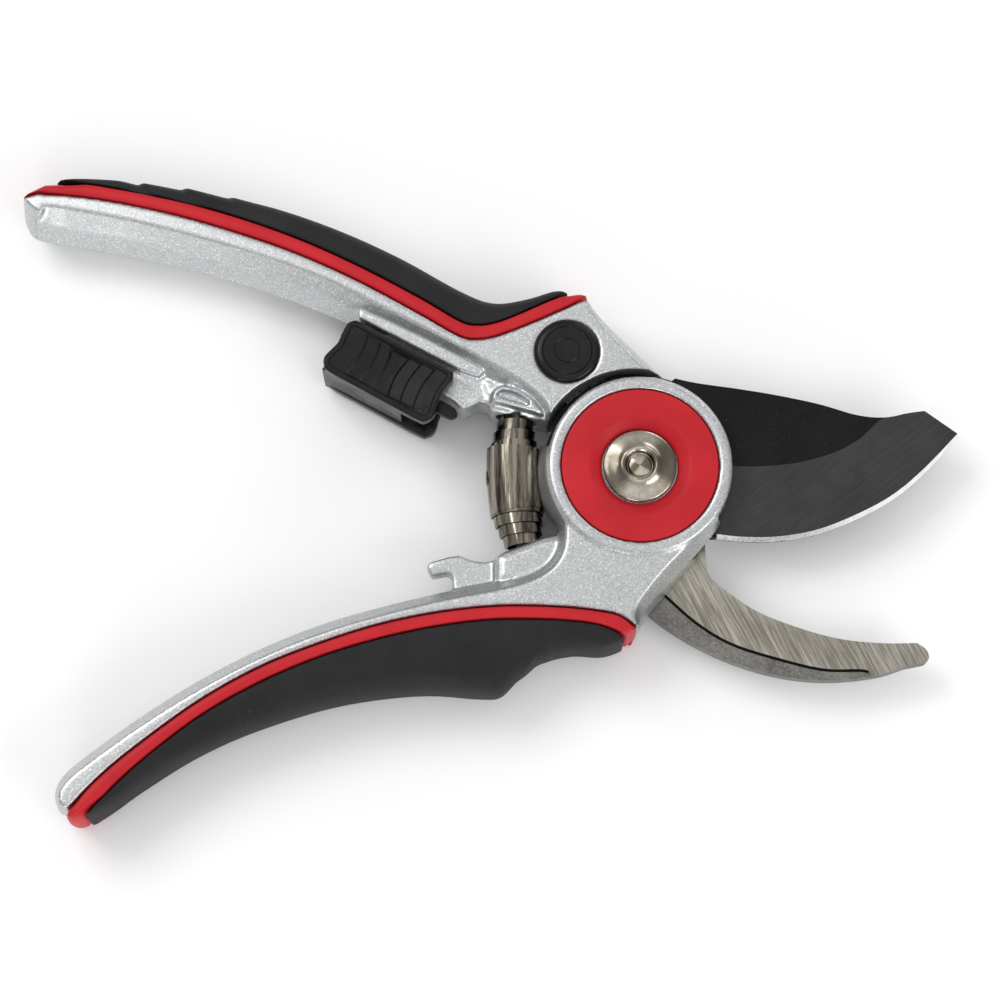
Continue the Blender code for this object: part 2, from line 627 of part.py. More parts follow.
def blade_screw_mesh(centre, cap_radius, face, into):
    """A screw whose head lies under its cap: depths are counted from the face."""
    head = cap_radius * SCREW_HEAD_SHARE
    section = ((0.0, 1.3), (head - 0.4, 1.3), (head, 1.7), (head, 4.2),
               (SCREW_SHANK_RADIUS, 4.2), (SCREW_SHANK_RADIUS, 13.8), (0.0, 14.1))
    return turned_mesh([(radius, face + depth * into) for radius, depth in section], centre, 24)


def screw_cap_mesh(centre, radius, face, into):
    """A round cap that stands a little proud of the casting's face."""
    section = ((0.0, -0.7), (radius - 1.1, -0.7), (radius, -0.2), (radius, 0.6), (0.0, 0.6))
    return turned_mesh([(reach, face + depth * into) for reach, depth in section], centre, 24)


# Lock.

SLIDER_OUTLINE = (
    (0.9, 1.8), (-0.4, 3.2), (-0.4, 6.0), (-0.2, 8.0), (-0.8, 10.4), (-1.2, 12.2), (-0.4, 13.9),
    (1.4, 14.7), (10.0, 14.9), (22.6, 15.1), (24.8, 14.5), (25.7, 12.6), (25.2, 9.8), (24.9, 7.2),
    (25.4, 4.2), (25.0, 2.7), (23.4, 1.9), (12.0, 1.9),
)


def slider_plate(low, high):
    return plate_mesh(counter_clockwise(rail_outline(SLIDER_OUTLINE)), low, high, edge=0.7)


def slider_front_mesh():
    floor = rail_outline(((-0.6, 12.6), (18.6, 12.6), (18.6, 14.6), (-0.6, 14.5)))
    end = rail_outline(((-0.3, 3.2), (1.3, 3.2), (1.3, 14.2), (-0.3, 13.2)))
    low = SLIDER_REAR[1] + GAP
    high = SLIDER_FRONT[0] + 1.2
    steps = [
        ("UNION", plate_mesh(counter_clockwise(floor), low, high)),
        ("UNION", plate_mesh(counter_clockwise(end), low, high)),
    ]
    return combine(slider_plate(*SLIDER_FRONT), steps)


def detent_mesh():
    points = [(9.0, 10.8), (9.0, 8.3), (27.6, 8.1), (28.9, 8.4), (29.6, 9.4), (28.9, 10.7), (27.6, 11.0)]
    outline = counter_clockwise(rail_outline(points))
    return plate_mesh(outline, LATCH_WEB[1] + GAP, SLIDER_FRONT[0] - GAP, edge=0.3)


def build():
    clear_scene()
    aluminium = make_material("cast_aluminium", (0.62, 0.64, 0.65), 0.38, 1.0)
    red = make_material("red_plastic", (0.62, 0.03, 0.04), 0.35, 0.0)
    rubber = make_material("grip_rubber", (0.02, 0.02, 0.02), 0.75, 0.0)
    coated = make_material("coated_blade", (0.02, 0.022, 0.024), 0.4, 0.3)
    ground = make_material("ground_steel", (0.42, 0.41, 0.38), 0.35, 1.0)
    nickel = make_material("nickel", (0.66, 0.62, 0.54), 0.18, 1.0)
    gloss = make_material("black_plastic", (0.015, 0.015, 0.015), 0.2, 0.0)
    bronze = make_material("bronze", (0.5, 0.33, 0.15), 0.3, 1.0)

    upper = make_empty("upper_assembly")
    lower = make_empty("lower_assembly", (0.0, 0.0, MIDDLE))
    slide_start = rail_point(0.0, 8.0)
    slider = make_empty("slider_assembly", (slide_start[0], slide_start[1], MIDDLE), upper)
    hook_seat = (HOOK_SCREW, HOOK_CAP_RADIUS, FACE_FRONT, -1)
    blade_seat = (BLADE_SCREW, BLADE_CAP_RADIUS, FACE_REAR, 1)
    spring = swept_mesh(spring_axis(len(SPRING_RADII)), SPRING_RADII, SPRING_BORE)

    pieces = (
        ("upper_handle", upper_handle_mesh(), aluminium, upper),
        ("lower_handle", lower_handle_mesh(), aluminium, lower),
        ("upper_grip_trim", grip_mesh(upper_trim_outline(), TRIM_PROFILE, UPPER_CORE), red, upper),
        ("upper_grip_pad", grip_mesh(upper_pad_outline(), PAD_PROFILE, UPPER_CORE), rubber, upper),
        ("lower_grip_trim", grip_mesh(lower_trim_outline(), TRIM_PROFILE, LOWER_CORE), red, lower),
        ("lower_grip_pad", grip_mesh(lower_pad_outline(), PAD_PROFILE, LOWER_CORE), rubber, lower),
        ("cutting_blade", cutting_blade_mesh(), coated, lower),
        ("counter_blade", counter_blade_mesh(), ground, upper),
        ("pivot_bolt", bolt_mesh(), nickel, upper),
        ("pivot_nut", nut_mesh(), nickel, upper),
        ("pivot_bush", ring_mesh(SHANK_RADIUS + GAP, BUSH_RADIUS, 3.1, 15.3), bronze, upper),
        ("front_washer", ring_mesh(SHANK_RADIUS + GAP, BOLT_HEAD_RADIUS - 0.3, 15.9, 16.4), ground, upper),
        ("rear_washer", ring_mesh(SHANK_RADIUS + GAP, BOLT_HEAD_RADIUS - 0.3, 2.0, 2.5), ground, upper),
        ("front_hub_cap", turned_mesh(hub_cap_profile(RING_FRONT, -1)), red, lower),
        ("rear_hub_cap", turned_mesh(hub_cap_profile(RING_REAR, 1)), red, upper),
        ("counter_blade_screw", blade_screw_mesh(*hook_seat), ground, upper),
        ("counter_blade_screw_cap", screw_cap_mesh(*hook_seat), gloss, upper),
        ("cutting_blade_screw", blade_screw_mesh(*blade_seat), ground, lower),
        ("cutting_blade_screw_cap", screw_cap_mesh(*blade_seat), gloss, lower),
        ("volute_spring", spring, nickel, upper),
        ("lock_slider", slider_front_mesh(), gloss, slider),
        ("lock_slider_back", slider_plate(*SLIDER_REAR), gloss, slider),
        ("lock_detent", detent_mesh(), gloss, slider),
    )
    for name, mesh, material, parent in pieces:
        finish_mesh(name, mesh, material, parent)


build()
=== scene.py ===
import math

import bmesh
import bpy
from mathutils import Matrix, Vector, geometry


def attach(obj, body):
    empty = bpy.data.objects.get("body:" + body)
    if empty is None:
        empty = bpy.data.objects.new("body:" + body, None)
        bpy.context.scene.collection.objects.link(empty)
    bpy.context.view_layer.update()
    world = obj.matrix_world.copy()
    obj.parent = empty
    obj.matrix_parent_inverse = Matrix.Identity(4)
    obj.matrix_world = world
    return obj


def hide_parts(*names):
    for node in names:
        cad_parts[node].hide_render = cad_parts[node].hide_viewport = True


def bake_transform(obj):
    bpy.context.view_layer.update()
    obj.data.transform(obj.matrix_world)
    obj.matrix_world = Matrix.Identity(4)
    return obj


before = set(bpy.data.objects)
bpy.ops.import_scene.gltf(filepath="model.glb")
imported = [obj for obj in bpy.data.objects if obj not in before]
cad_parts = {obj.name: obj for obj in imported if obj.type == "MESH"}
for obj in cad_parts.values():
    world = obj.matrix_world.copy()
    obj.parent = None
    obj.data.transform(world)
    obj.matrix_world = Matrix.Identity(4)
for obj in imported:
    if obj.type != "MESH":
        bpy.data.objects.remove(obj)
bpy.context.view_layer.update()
print("frame loaded:", len(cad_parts), "nodes")

mm = 0.001

# heights shared by the pieces, in mm above the face that the shears lie on
heights = {
    "rearFace": 0.8, "rearPlateTop": 5.6, "hookLow": 5.9, "hookHigh": 9.7, "middle": 9.2,
    "bladeLow": 10.0, "bladeHigh": 12.8, "frontPlateUnder": 13.1, "frontFace": 17.6,
    "frontRing": 18.4, "boltTop": 18.9,
}


# ---- modelling helpers: lengths in mm, made metres as a mesh is placed

def pick(obj):
    bpy.ops.object.select_all(action="DESELECT")
    obj.select_set(True)
    bpy.context.view_layer.objects.active = obj


def started(name, addShape, **settings):
    # a new object, with nothing else selected
    bpy.ops.object.select_all(action="DESELECT")
    addShape(**settings)
    bpy.context.active_object.name = name
    return bpy.context.active_object


def closeUp(triangles=True):
    # from edit mode back to object mode, with every face looking outwards
    bpy.ops.mesh.select_all(action="SELECT")
    if triangles:
        bpy.ops.mesh.quads_convert_to_tris(quad_method="BEAUTY", ngon_method="BEAUTY")
    bpy.ops.mesh.normals_make_consistent(inside=False)
    bpy.ops.object.mode_set(mode="OBJECT")


def smoothLine(points, steps=8):
    # a curve through all the points, with its last point
    ends = [points[0], *points, points[-1]]
    run = []
    for before, start, end, after in zip(ends, ends[1:], ends[2:], ends[3:]):
        for step in range(steps):
            t = step / steps
            weights = (2 * t**2 - t - t**3, 2 - 5 * t**2 + 3 * t**3, t + 4 * t**2 - 3 * t**3, t**3 - t**2)
            run.append(tuple(0.5 * sum(w * c for w, c in zip(weights, four))
                             for four in zip(before, start, end, after)))
    return run + [tuple(points[-1])]


def fade(value, low, high):
    t = max(0.0, min(1.0, (value - low) / (high - low)))
    return t * t * (3 - 2 * t)


def arcLine(centre, radius, start, end, count, inset=0.0):
    angles = [math.radians(start + (end - start) * i / count) for i in range(count + 1)]
    return [(centre[0] + radius * math.cos(a), centre[1] + radius * math.sin(a), inset) for a in angles]


def flatInset(points, inset=0.0):
    return [(p[0], p[1], inset) for p in points]


def counterClockwise(outline):
    area = sum(a[0] * b[1] - b[0] * a[1] for a, b in zip(outline, outline[1:] + outline[:1]))
    return outline if area > 0 else outline[::-1]


def movedIn(outline, share=1.0, extra=0.0):
    # each corner moved in by extra and a share of its own inset
    moved = []
    for i, here in enumerate(outline):
        place = Vector(here[:2])
        into = (place - Vector(outline[i - 1][:2])).normalized()
        out = (Vector(outline[(i + 1) % len(outline)][:2]) - place).normalized()
        normal = Vector((-into.y - out.y, into.x + out.x)).normalized()
        mitre = max(0.6, normal.dot(Vector((-into.y, into.x))))
        shift = extra + share * (here[2] if len(here) > 2 else 0.0)
        moved.append(place + normal * (shift / mitre))
    return unlooped(moved)


def unlooped(places):
    # where a moved line crosses itself, its loop is drawn in to the crossing
    count = len(places)
    for i in range(count):
        for reach in range(min(60, count // 3), 1, -1):
            ends = [places[k % count] for k in (i, i + 1, i + reach, i + reach + 1)]
            crossing = geometry.intersect_line_line_2d(*ends)
            if crossing:
                for k in range(i + 1, i + reach + 1):
                    places[k % count] = crossing
                break
    return places


def spread(outline, gap):
    # drops corners that lie closer together than gap
    kept = [outline[0]]
    for point in outline[1:]:
        if (Vector(point[:2]) - Vector(kept[-1][:2])).length > gap:
            kept.append(point)
    if (Vector(kept[0][:2]) - Vector(kept[-1][:2])).length < gap:
        kept.pop()
    return kept


def band(line, left, right):
    # the outline of a band that reaches left and right of a line
    places = [Vector(p[:2]) for p in line]
    sides = []
    for before, after in zip(places[:1] + places, places[1:] + places[-1:]):
        run = (after - before).normalized()
        sides.append(Vector((-run.y, run.x)))
    return ([tuple(p + s * left) for p, s in zip(places, sides)]
            + [tuple(p - s * right) for p, s in zip(places, sides)][::-1])


def loft(rings, name="tool"):
    # a circle with one corner per outline point, pulled to the outline and extruded from height to height
    obj = started(name, bpy.ops.mesh.primitive_circle_add, vertices=len(rings[0][1]), radius=1, fill_type="NGON")
    bpy.ops.object.mode_set(mode="EDIT")
    bpy.ops.mesh.select_all(action="SELECT")
    shape = bmesh.from_edit_mesh(obj.data)
    corner = shape.verts.layers.int.new("corner")
    for vert in shape.verts:
        vert[corner] = vert.index
        point = rings[0][1][vert.index]
        vert.co = (point[0] * mm, point[1] * mm, rings[0][0] * mm)
    bmesh.update_edit_mesh(obj.data)
    for height, points in rings[1:]:
        bpy.ops.mesh.extrude_region_move(TRANSFORM_OT_translate={"value": (0, 0, mm)})
        shape = bmesh.from_edit_mesh(obj.data)
        corner = shape.verts.layers.int["corner"]
        for vert in shape.verts:
            if vert.select:
                point = points[vert[corner]]
                vert.co = (point[0] * mm, point[1] * mm, height * mm)
        bmesh.update_edit_mesh(obj.data)
    bpy.ops.mesh.select_all(action="SELECT")
    bpy.ops.mesh.remove_doubles(threshold=0.03 * mm)
    bmesh.from_edit_mesh(obj.data).normal_update()
    closeUp()
    obj.data.attributes.remove(obj.data.attributes["corner"])
    return obj


def plate(outline, low, high, edge=0.0, grow=0.0, name="tool"):
    flat = flatInset(counterClockwise([tuple(p) for p in outline]), edge)
    if edge:
        levels = ((low, 1.0), (low + 0.3 * edge, 0.3), (low + edge, 0.0),
                  (high - edge, 0.0), (high - 0.3 * edge, 0.3), (high, 1.0))
    else:
        levels = ((low, 0.0), (high, 0.0))
    return loft([(z, movedIn(flat, share, -grow)) for z, share in levels], name)


def turned(name, section, centre=(0.0, 0.0), steps=96):
    # a section of (radius, height) points spun round an upright axis
    obj = started(name, bpy.ops.mesh.primitive_circle_add, vertices=len(section), radius=1, fill_type="NOTHING")
    for vert, (radius, height) in zip(obj.data.vertices, section):
        vert.co = ((centre[0] + radius) * mm, centre[1] * mm, height * mm)
    bpy.ops.object.mode_set(mode="EDIT")
    shape = bmesh.from_edit_mesh(obj.data)
    for edge in list(shape.edges):
        if all(abs(vert.co.x - centre[0] * mm) < 1e-9 for vert in edge.verts):
            shape.edges.remove(edge)
    bmesh.update_edit_mesh(obj.data)
    bpy.ops.mesh.select_all(action="SELECT")
    middle = (centre[0] * mm, centre[1] * mm, 0)
    bpy.ops.mesh.spin(steps=steps, angle=2 * math.pi, center=middle, axis=(0, 0, 1))
    bpy.ops.mesh.select_all(action="SELECT")
    bpy.ops.mesh.remove_doubles(threshold=1e-6)
    closeUp(triangles=False)
    return obj


def disc(radius, low, high, centre=(0.0, 0.0), edge=0.0, steps=96, name="tool"):
    section = [(0, low), (radius, low), (radius, high), (0, high)]
    if edge:
        section[1:3] = [(radius - edge, low), (radius, low + edge), (radius, high - edge), (radius - edge, high)]
    return turned(name, section, centre, steps)


def rod(start, end, radius, sides=32):
    # a round bar between two (x, y) places at mid-height
    start, end = Vector((*start, heights["middle"])), Vector((*end, heights["middle"]))
    obj = started("tool", bpy.ops.mesh.primitive_cylinder_add, vertices=sides, radius=radius * mm,
                  depth=(end - start).length * mm, location=(start + end) / 2 * mm,
                  rotation=(end - start).to_track_quat("Z", "Y").to_euler())
    bpy.ops.object.transform_apply(location=True, rotation=True, scale=True)
    return obj


def formed(name, columns, rows, place, thickness=0.0):
    # a grid whose every corner goes to place(across, up), both from 0 to 1
    obj = started(name, bpy.ops.mesh.primitive_grid_add, x_subdivisions=columns, y_subdivisions=rows, size=2)
    for vert in obj.data.vertices:
        point = place((vert.co.x + 1) / 2, (vert.co.y + 1) / 2)
        vert.co = Vector(point) * mm
    if thickness:
        addModifier(obj, "SOLIDIFY", thickness=thickness * mm, offset=0, use_even_offset=True)
    return obj


def addModifier(obj, kind, **settings):
    pick(obj)
    modifier = obj.modifiers.new(kind.lower(), kind)
    for key, value in settings.items():
        setattr(modifier, key, value)
    bpy.ops.object.modifier_apply(modifier=modifier.name)
    return obj


def combined(base, operation, other):
    # one Boolean, applied, and its tool removed
    addModifier(base, "BOOLEAN", operation=operation, solver="MANIFOLD", object=other)
    bpy.data.objects.remove(other, do_unlink=True)
    return base


def cut(base, other):
    return combined(base, "DIFFERENCE", other)


def add(base, other):
    return combined(base, "UNION", other)


def softened(obj, grain, rounds, strength=0.5):
    # one skin over everything joined so far, with its corners worn round as a casting's are
    addModifier(obj, "REMESH", mode="VOXEL", voxel_size=grain * mm, adaptivity=0)
    addModifier(obj, "SMOOTH", factor=strength, iterations=rounds)
    return obj


def rounded(obj, width, segments=3, angle=30):
    return addModifier(obj, "BEVEL", width=width * mm, segments=segments, limit_method="ANGLE",
                       angle_limit=math.radians(angle), use_clamp_overlap=True)


def shaded(obj, angle=30):
    pick(obj)
    bpy.ops.object.shade_smooth_by_angle(angle=math.radians(angle))
    return obj


def finished(obj, body, slot, materials, *nodes):
    obj.data.materials.clear()
    for material in materials:
        obj.data.materials.append(material)
    obj.data.name = obj.name
    if nodes:
        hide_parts(*nodes)
    if body:
        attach(obj, body)
    print("made", obj.name, len(obj.data.polygons), "faces")
    return obj


# ---- finishes

class Link:
    # a shader socket that does sums
    def __init__(self, finish, socket):
        self.finish = finish
        self.socket = socket

    def sums(self, operation, *values):
        return self.finish.node("ShaderNodeMath", {"operation": operation}, *values)

    def __add__(self, other):
        return self.sums("ADD", self, other)

    def __sub__(self, other):
        return self.sums("SUBTRACT", self, other)

    def __mul__(self, other):
        return self.sums("MULTIPLY", self, other)

    def __truediv__(self, other):
        return self.sums("DIVIDE", self, other)

    def __rsub__(self, other):
        return self.sums("SUBTRACT", other, self)

    __radd__ = __add__
    __rmul__ = __mul__

    def between(self, low, high, newLow=0.0, newHigh=1.0):
        settings = {"interpolation_type": "SMOOTHSTEP"}
        return self.finish.node("ShaderNodeMapRange", settings, self, low, high, newLow, newHigh)


class Finish:
    # a Principled material and the nodes that feed it
    def __init__(self, name, colour, roughness, metallic=0.0, specular=0.5):
        self.material = bpy.data.materials.new(name)
        self.material.use_nodes = True
        self.tree = self.material.node_tree
        self.shader = self.tree.nodes["Principled BSDF"]
        self.set("Base Color", colour)
        self.set("Roughness", roughness)
        self.set("Metallic", metallic)
        self.set("Specular IOR Level", specular)
        self.here = self.node("ShaderNodeTexCoord", {}, output="Object")

    def set(self, name, value):
        self.put(self.shader.inputs[name], value)

    def put(self, socket, value):
        if isinstance(value, Link):
            self.tree.links.new(value.socket, socket)
        elif isinstance(value, (tuple, list)) and len(value) == 3 and socket.type == "RGBA":
            socket.default_value = (*value, 1.0)
        else:
            socket.default_value = value

    def node(self, kind, settings, *values, output=0, **named):
        made = self.tree.nodes.new(kind)
        for key, value in settings.items():
            setattr(made, key, value)
        for socket, value in zip(made.inputs, values):
            if value is not None:
                self.put(socket, value)
        for key, value in named.items():
            self.put(made.inputs[key], value)
        return Link(self, made.outputs[output])

    def turnedBy(self, angle, stretch=(1.0, 1.0, 1.0)):
        # coordinates turned about the upright axis, then stretched
        turn = self.node("ShaderNodeMapping", {}, self.here, None, (0, 0, math.radians(angle)))
        return self.node("ShaderNodeVectorMath", {"operation": "MULTIPLY"}, turn, stretch)

    def noise(self, size, detail=2.0, rough=0.5, where=None):
        # size is the width of a patch in mm
        return self.node("ShaderNodeTexNoise", {}, Vector=where or self.here, Scale=1 / (size * mm),
                         Detail=detail, Roughness=rough)

    def cells(self, size, output="Distance"):
        return self.node("ShaderNodeTexVoronoi", {}, Vector=self.here, Scale=1 / (size * mm), output=output)

    def mix(self, share, first, second):
        made = self.tree.nodes.new("ShaderNodeMix")
        made.data_type = "RGBA"
        self.put(made.inputs["Factor"], share)
        for socket, value in zip(made.inputs[6:8], (first, second)):  # the two colour sockets
            self.put(socket, value)
        return Link(self, made.outputs[2])

    def bump(self, height, depth, strength=1.0, after=None):
        # depth in mm
        made = self.tree.nodes.new("ShaderNodeBump")
        self.put(made.inputs["Height"], height)
        made.inputs["Distance"].default_value = depth * mm
        made.inputs["Strength"].default_value = strength
        if after is not None:
            self.put(made.inputs["Normal"], after)
        return Link(self, made.outputs[0])


def silverCoat():
    finish = Finish("castSilver", (0.5, 0.51, 0.515), 0.36, 0.9)
    flake = finish.node("ShaderNodeSeparateColor", {}, finish.cells(0.19, output="Color"))
    grain = finish.noise(0.3, 2.0, 0.6)
    cloud = finish.noise(7.0, 3.0, 0.55)
    tone = finish.mix(flake.between(0.1, 0.9), (0.41, 0.425, 0.435), (0.59, 0.60, 0.605))
    # painted glints: the rarest flakes are mixed towards near white
    tone = finish.mix(flake.between(0.93, 0.97, 0.0, 0.8), tone, (0.92, 0.92, 0.90))
    finish.set("Base Color", finish.mix(cloud.between(0.35, 0.75, 0.0, 0.25), tone, (0.56, 0.565, 0.56)))
    finish.set("Roughness", flake.between(0.0, 1.0, 0.28, 0.42))
    lumps = finish.bump(grain, 0.03, 0.4)
    finish.set("Normal", finish.bump(flake, 0.012, 0.5, lumps))
    return finish.material


def moulded(name, colour, roughness, specular, cloud, tones, grain, relief, dust, polish, byCloud=False):
    # cloud, grain and the first of dust: size in mm, detail and roughness of a pattern
    finish = Finish(name, colour, roughness, specular=specular)
    cloud, fine = finish.noise(*cloud), finish.noise(*grain)
    pattern, levels, share, dustTone = dust
    specks = finish.noise(*pattern).between(*levels)
    tone = finish.mix(cloud.between(0.3, 0.7), *tones)
    finish.set("Base Color", finish.mix(specks * share, tone, dustTone))
    finish.set("Roughness", (cloud if byCloud else fine).between(*polish))
    finish.set("Normal", finish.bump(fine, *relief))
    return finish.material


def bladeCoat(name, low, high, roughness, specular):
    finish = Finish(name, high, roughness, 0.0, specular=specular)
    cloud = finish.noise(12.0, 4.0, 0.6)
    fine = finish.noise(0.4, 3.0, 0.7)
    specks = finish.noise(0.5, 2.0, 0.5).between(0.71, 0.78)
    lines = finish.noise(0.5, 2.0, 0.6, finish.turnedBy(-38, (0.04, 1.0, 1.0)))
    tone = finish.mix((cloud * 0.6 + lines * 0.4).between(0.32, 0.66), low, high)
    finish.set("Base Color", finish.mix(specks * 0.5, tone, (0.13, 0.13, 0.125)))
    finish.set("Roughness", cloud.between(0.3, 0.7, roughness - 0.05, roughness + 0.07) + lines * 0.05)
    finish.set("Normal", finish.bump(fine + lines, 0.02, 0.3))
    return finish.material


def groundSteel(name, dark, light, angle, stained, width):
    # fine straight grinding lines, width apart
    finish = Finish(name, light, 0.36, 1.0)
    lines = finish.noise(width, 3.0, 0.65, finish.turnedBy(angle, (0.03, 1.0, 1.0)))
    broad = finish.noise(width * 4, 2.0, 0.5, finish.turnedBy(angle, (0.06, 1.0, 1.0)))
    cloud = finish.noise(8.0, 4.0, 0.65)
    stain = finish.noise(1.6, 4.0, 0.7).between(0.64, 0.8) * stained
    tone = finish.mix((lines * 0.7 + broad * 0.3).between(0.38, 0.62), dark, light)
    tone = finish.mix(cloud.between(0.4, 0.75, 0.0, 0.45), tone, dark)
    finish.set("Base Color", finish.mix(stain, tone, (0.20, 0.12, 0.05)))
    finish.set("Roughness", lines.between(0.3, 0.7, 0.26, 0.44))
    finish.set("Normal", finish.bump(lines, 0.02, 0.5))
    return finish.material


def roughSteel(name, dark, light):
    finish = Finish(name, light, 0.45, 0.9)
    speck = finish.noise(0.45, 3.0, 0.7)
    cloud = finish.noise(5.0, 4.0, 0.65)
    glint = speck.between(0.66, 0.72)
    tone = finish.mix((speck * 0.6 + cloud * 0.4).between(0.38, 0.62), dark, light)
    finish.set("Base Color", finish.mix(glint * 0.6, tone, (0.55, 0.54, 0.50)))
    finish.set("Roughness", speck.between(0.3, 0.7, 0.36, 0.55))
    finish.set("Normal", finish.bump(speck, 0.03, 0.5))
    return finish.material


def plated(name, dark, light, roughness, streak=(1.0, 1.0, 1.0), mottle=0.5, paintedReflectionFan=0.0):
    # paintedReflectionFan is how strongly a painted reflection darkens a turned face in two opposite fans round
    # its axis
    finish = Finish(name, light, roughness, 1.0)
    cloud = finish.noise(2.2, 3.0, 0.6, finish.turnedBy(0, streak))
    fine = finish.noise(0.35, 2.0, 0.6, finish.turnedBy(0, streak))
    pits = finish.noise(1.3, 4.0, 0.75).between(0.67, 0.72)
    tone = finish.mix((cloud * 0.75 + fine * 0.25).between(0.38, 0.64), light, dark)
    if paintedReflectionFan:
        parts = finish.node("ShaderNodeSeparateXYZ", {}, finish.turnedBy(-100))
        across, up = (Link(finish, parts.socket.node.outputs[k]) for k in ("X", "Y"))
        turn = up.sums("ARCTAN2", up, across) * 2
        # painted reflection: two opposite dark fans laid into the colour round the axis
        tone = finish.mix(turn.sums("COSINE", turn).between(-0.6, 0.5, paintedReflectionFan, 0.0), tone, (0.05, 0.043, 0.032))
    finish.set("Base Color", finish.mix(pits * mottle, tone, (0.05, 0.045, 0.035)))
    finish.set("Roughness", cloud.between(0.3, 0.7, roughness - 0.04, roughness + 0.08))
    finish.set("Normal", finish.bump(fine, 0.008, 0.35))
    return finish.material


silver = silverCoat()
red = moulded("redShell", (0.5, 0.013, 0.02), 0.42, 0.2, (14.0, 3.0),
              ((0.45, 0.011, 0.018), (0.53, 0.016, 0.024)), (0.35, 2.0, 0.6), (0.03, 0.35),
              ((1.1, 3.0, 0.7), (0.66, 0.78), 0.2, (0.68, 0.08, 0.09)), (0.3, 0.7, 0.36, 0.5))
rubber = moulded("softBlack", (0.014, 0.014, 0.0145), 0.6, 0.22, (16.0, 3.0),
                 ((0.010, 0.010, 0.0105), (0.017, 0.017, 0.0175)), (0.32, 3.0, 0.65), (0.045, 0.5),
                 ((0.55, 2.0, 0.5), (0.72, 0.8), 0.5, (0.12, 0.12, 0.11)), (0.25, 0.75, 0.5, 0.72))
coatFlat = bladeCoat("blackCoat", (0.005, 0.005, 0.0055), (0.009, 0.009, 0.0095), 0.42, 0.12)
# a lighter copy of the black coat for the ground bevel: its lighter tone is painted light, for the light that the
# tilted bevel catches
coatBevelPaintedLight = bladeCoat("bevelCoatPaintedLight", (0.020, 0.020, 0.021), (0.036, 0.036, 0.037), 0.42, 0.3)
bareEdge = groundSteel("bareEdge", (0.80, 0.78, 0.75), (0.98, 0.97, 0.95), -75, 0.1, 0.4)
hookSteel = groundSteel("hookSteel", (0.20, 0.185, 0.155), (0.47, 0.44, 0.385), 63, 0.35, 0.24)
hookBand = roughSteel("hookBand", (0.12, 0.118, 0.11), (0.24, 0.232, 0.21))
nickel = plated("nickel", (0.40, 0.355, 0.285), (0.56, 0.515, 0.43), 0.16, mottle=0.05, paintedReflectionFan=0.75)
springNickel = plated("springNickel", (0.05, 0.043, 0.032), (0.30, 0.275, 0.225), 0.13, (1.6, 0.1, 1.6), 0.35)
blackGloss = moulded("glossBlack", (0.006, 0.006, 0.0065), 0.24, 0.26, (5.0, 4.0, 0.65),
                     ((0.004, 0.004, 0.0045), (0.008, 0.008, 0.0085)), (0.35, 2.0, 0.6), (0.02, 0.3),
                     ((0.6, 2, 0.5), (0.71, 0.79), 0.45, (0.14, 0.14, 0.13)), (0.3, 0.75, 0.22, 0.38), True)
bronze = plated("oiledBronze", (0.40, 0.26, 0.11), (0.58, 0.40, 0.19), 0.3)
zinc = plated("zincSteel", (0.42, 0.42, 0.42), (0.60, 0.60, 0.60), 0.34)
print("finishes made")


# ---- lines that a casting, its red strip and its black grip share, from the hub to the handle's end

seams = {
    "upperInner": ((-12.5, 36.6), (-21.1, 32.6), (-29.7, 29.1), (-34, 28.2), (-38.3, 28.8), (-46.9, 33.8),
                   (-59.8, 41), (-72.9, 47.2), (-85.9, 52), (-99, 56), (-111, 58.8), (-120.8, 60.4),
                   (-130, 61.1)),
    "upperOuter": ((-16.8, 37.9), (-25.4, 33.9), (-30.5, 31.9), (-34.5, 31.3), (-38.3, 32.2), (-46.9, 37.4),
                   (-59.9, 44.5), (-72.9, 50.6), (-86, 55.5), (-99.1, 59.3), (-112.2, 62.1), (-120.9, 63.6),
                   (-125.3, 64.2)),
    "lowerInner": ((-0.8, -34.9), (-4.6, -32.4), (-8.7, -31.4), (-17.1, -30.5), (-29.7, -30.3), (-42.3, -31.6),
                   (-54.8, -34.2), (-67.3, -38.2), (-79.8, -43.3), (-92.1, -50.3), (-104.3, -59.3),
                   (-112.4, -66.2), (-119, -73.2)),
    "lowerOuter": ((-4.2, -36.3), (-8.8, -34.4), (-17.1, -33.4), (-29.7, -33.2), (-42.3, -34.6), (-54.8, -37.3),
                   (-67.3, -41.2), (-79.7, -46.6), (-92, -53.7), (-104.2, -63.3), (-112.3, -71.1),
                   (-116, -75.2)),
}
seamGap = 0.12  # half of the dark line between two pieces that meet
play = 0.3  # room round a blade or a screw in its seat

# ---- castings

casting = {
    "grain": 0.42,  # size of the skin's squares
    "softening": 2,  # more rounds wear the corners rounder
    "ringRadius": 19.7, "capRecess": 16.85, "recessDepth": 2.8, "bore": 5.8,
    "pegRadius": 1.5,
    "capDepth": 1.0, "headDepth": 4.5, "holeDepth": 14.4,
}
tangHalf = 4.9  # half the width of the tab that holds a blade in its casting
rootRadius = 20.2  # of both blades round the pivot
seatSlack = 0.4  # height left free on each side of a blade's tab

springLine = {"low": Vector((-24.8, -14.6)), "middle": Vector((-26.7, -0.6)), "high": Vector((-26.0, 13.6))}

hookScrew = {"place": (-15.3, 25.3), "cap": 6.7, "head": 0.68, "shank": 2.2}
bladeScrew = {"place": (-12.8, -25.2), "cap": 4.9, "head": 0.68, "shank": 2.2}

rail = {"start": Vector((-60.5, 34.6)), "slope": -28.3}


def alongRail(points):
    # places by their distance along the lock's rail and below it
    angle = math.radians(rail["slope"])
    direction = Vector((math.cos(angle), math.sin(angle)))
    places = [rail["start"] + direction * p[0] + Vector((direction.y, -direction.x)) * p[1] for p in points]
    return [(place.x, place.y, 0.0) for place in places]


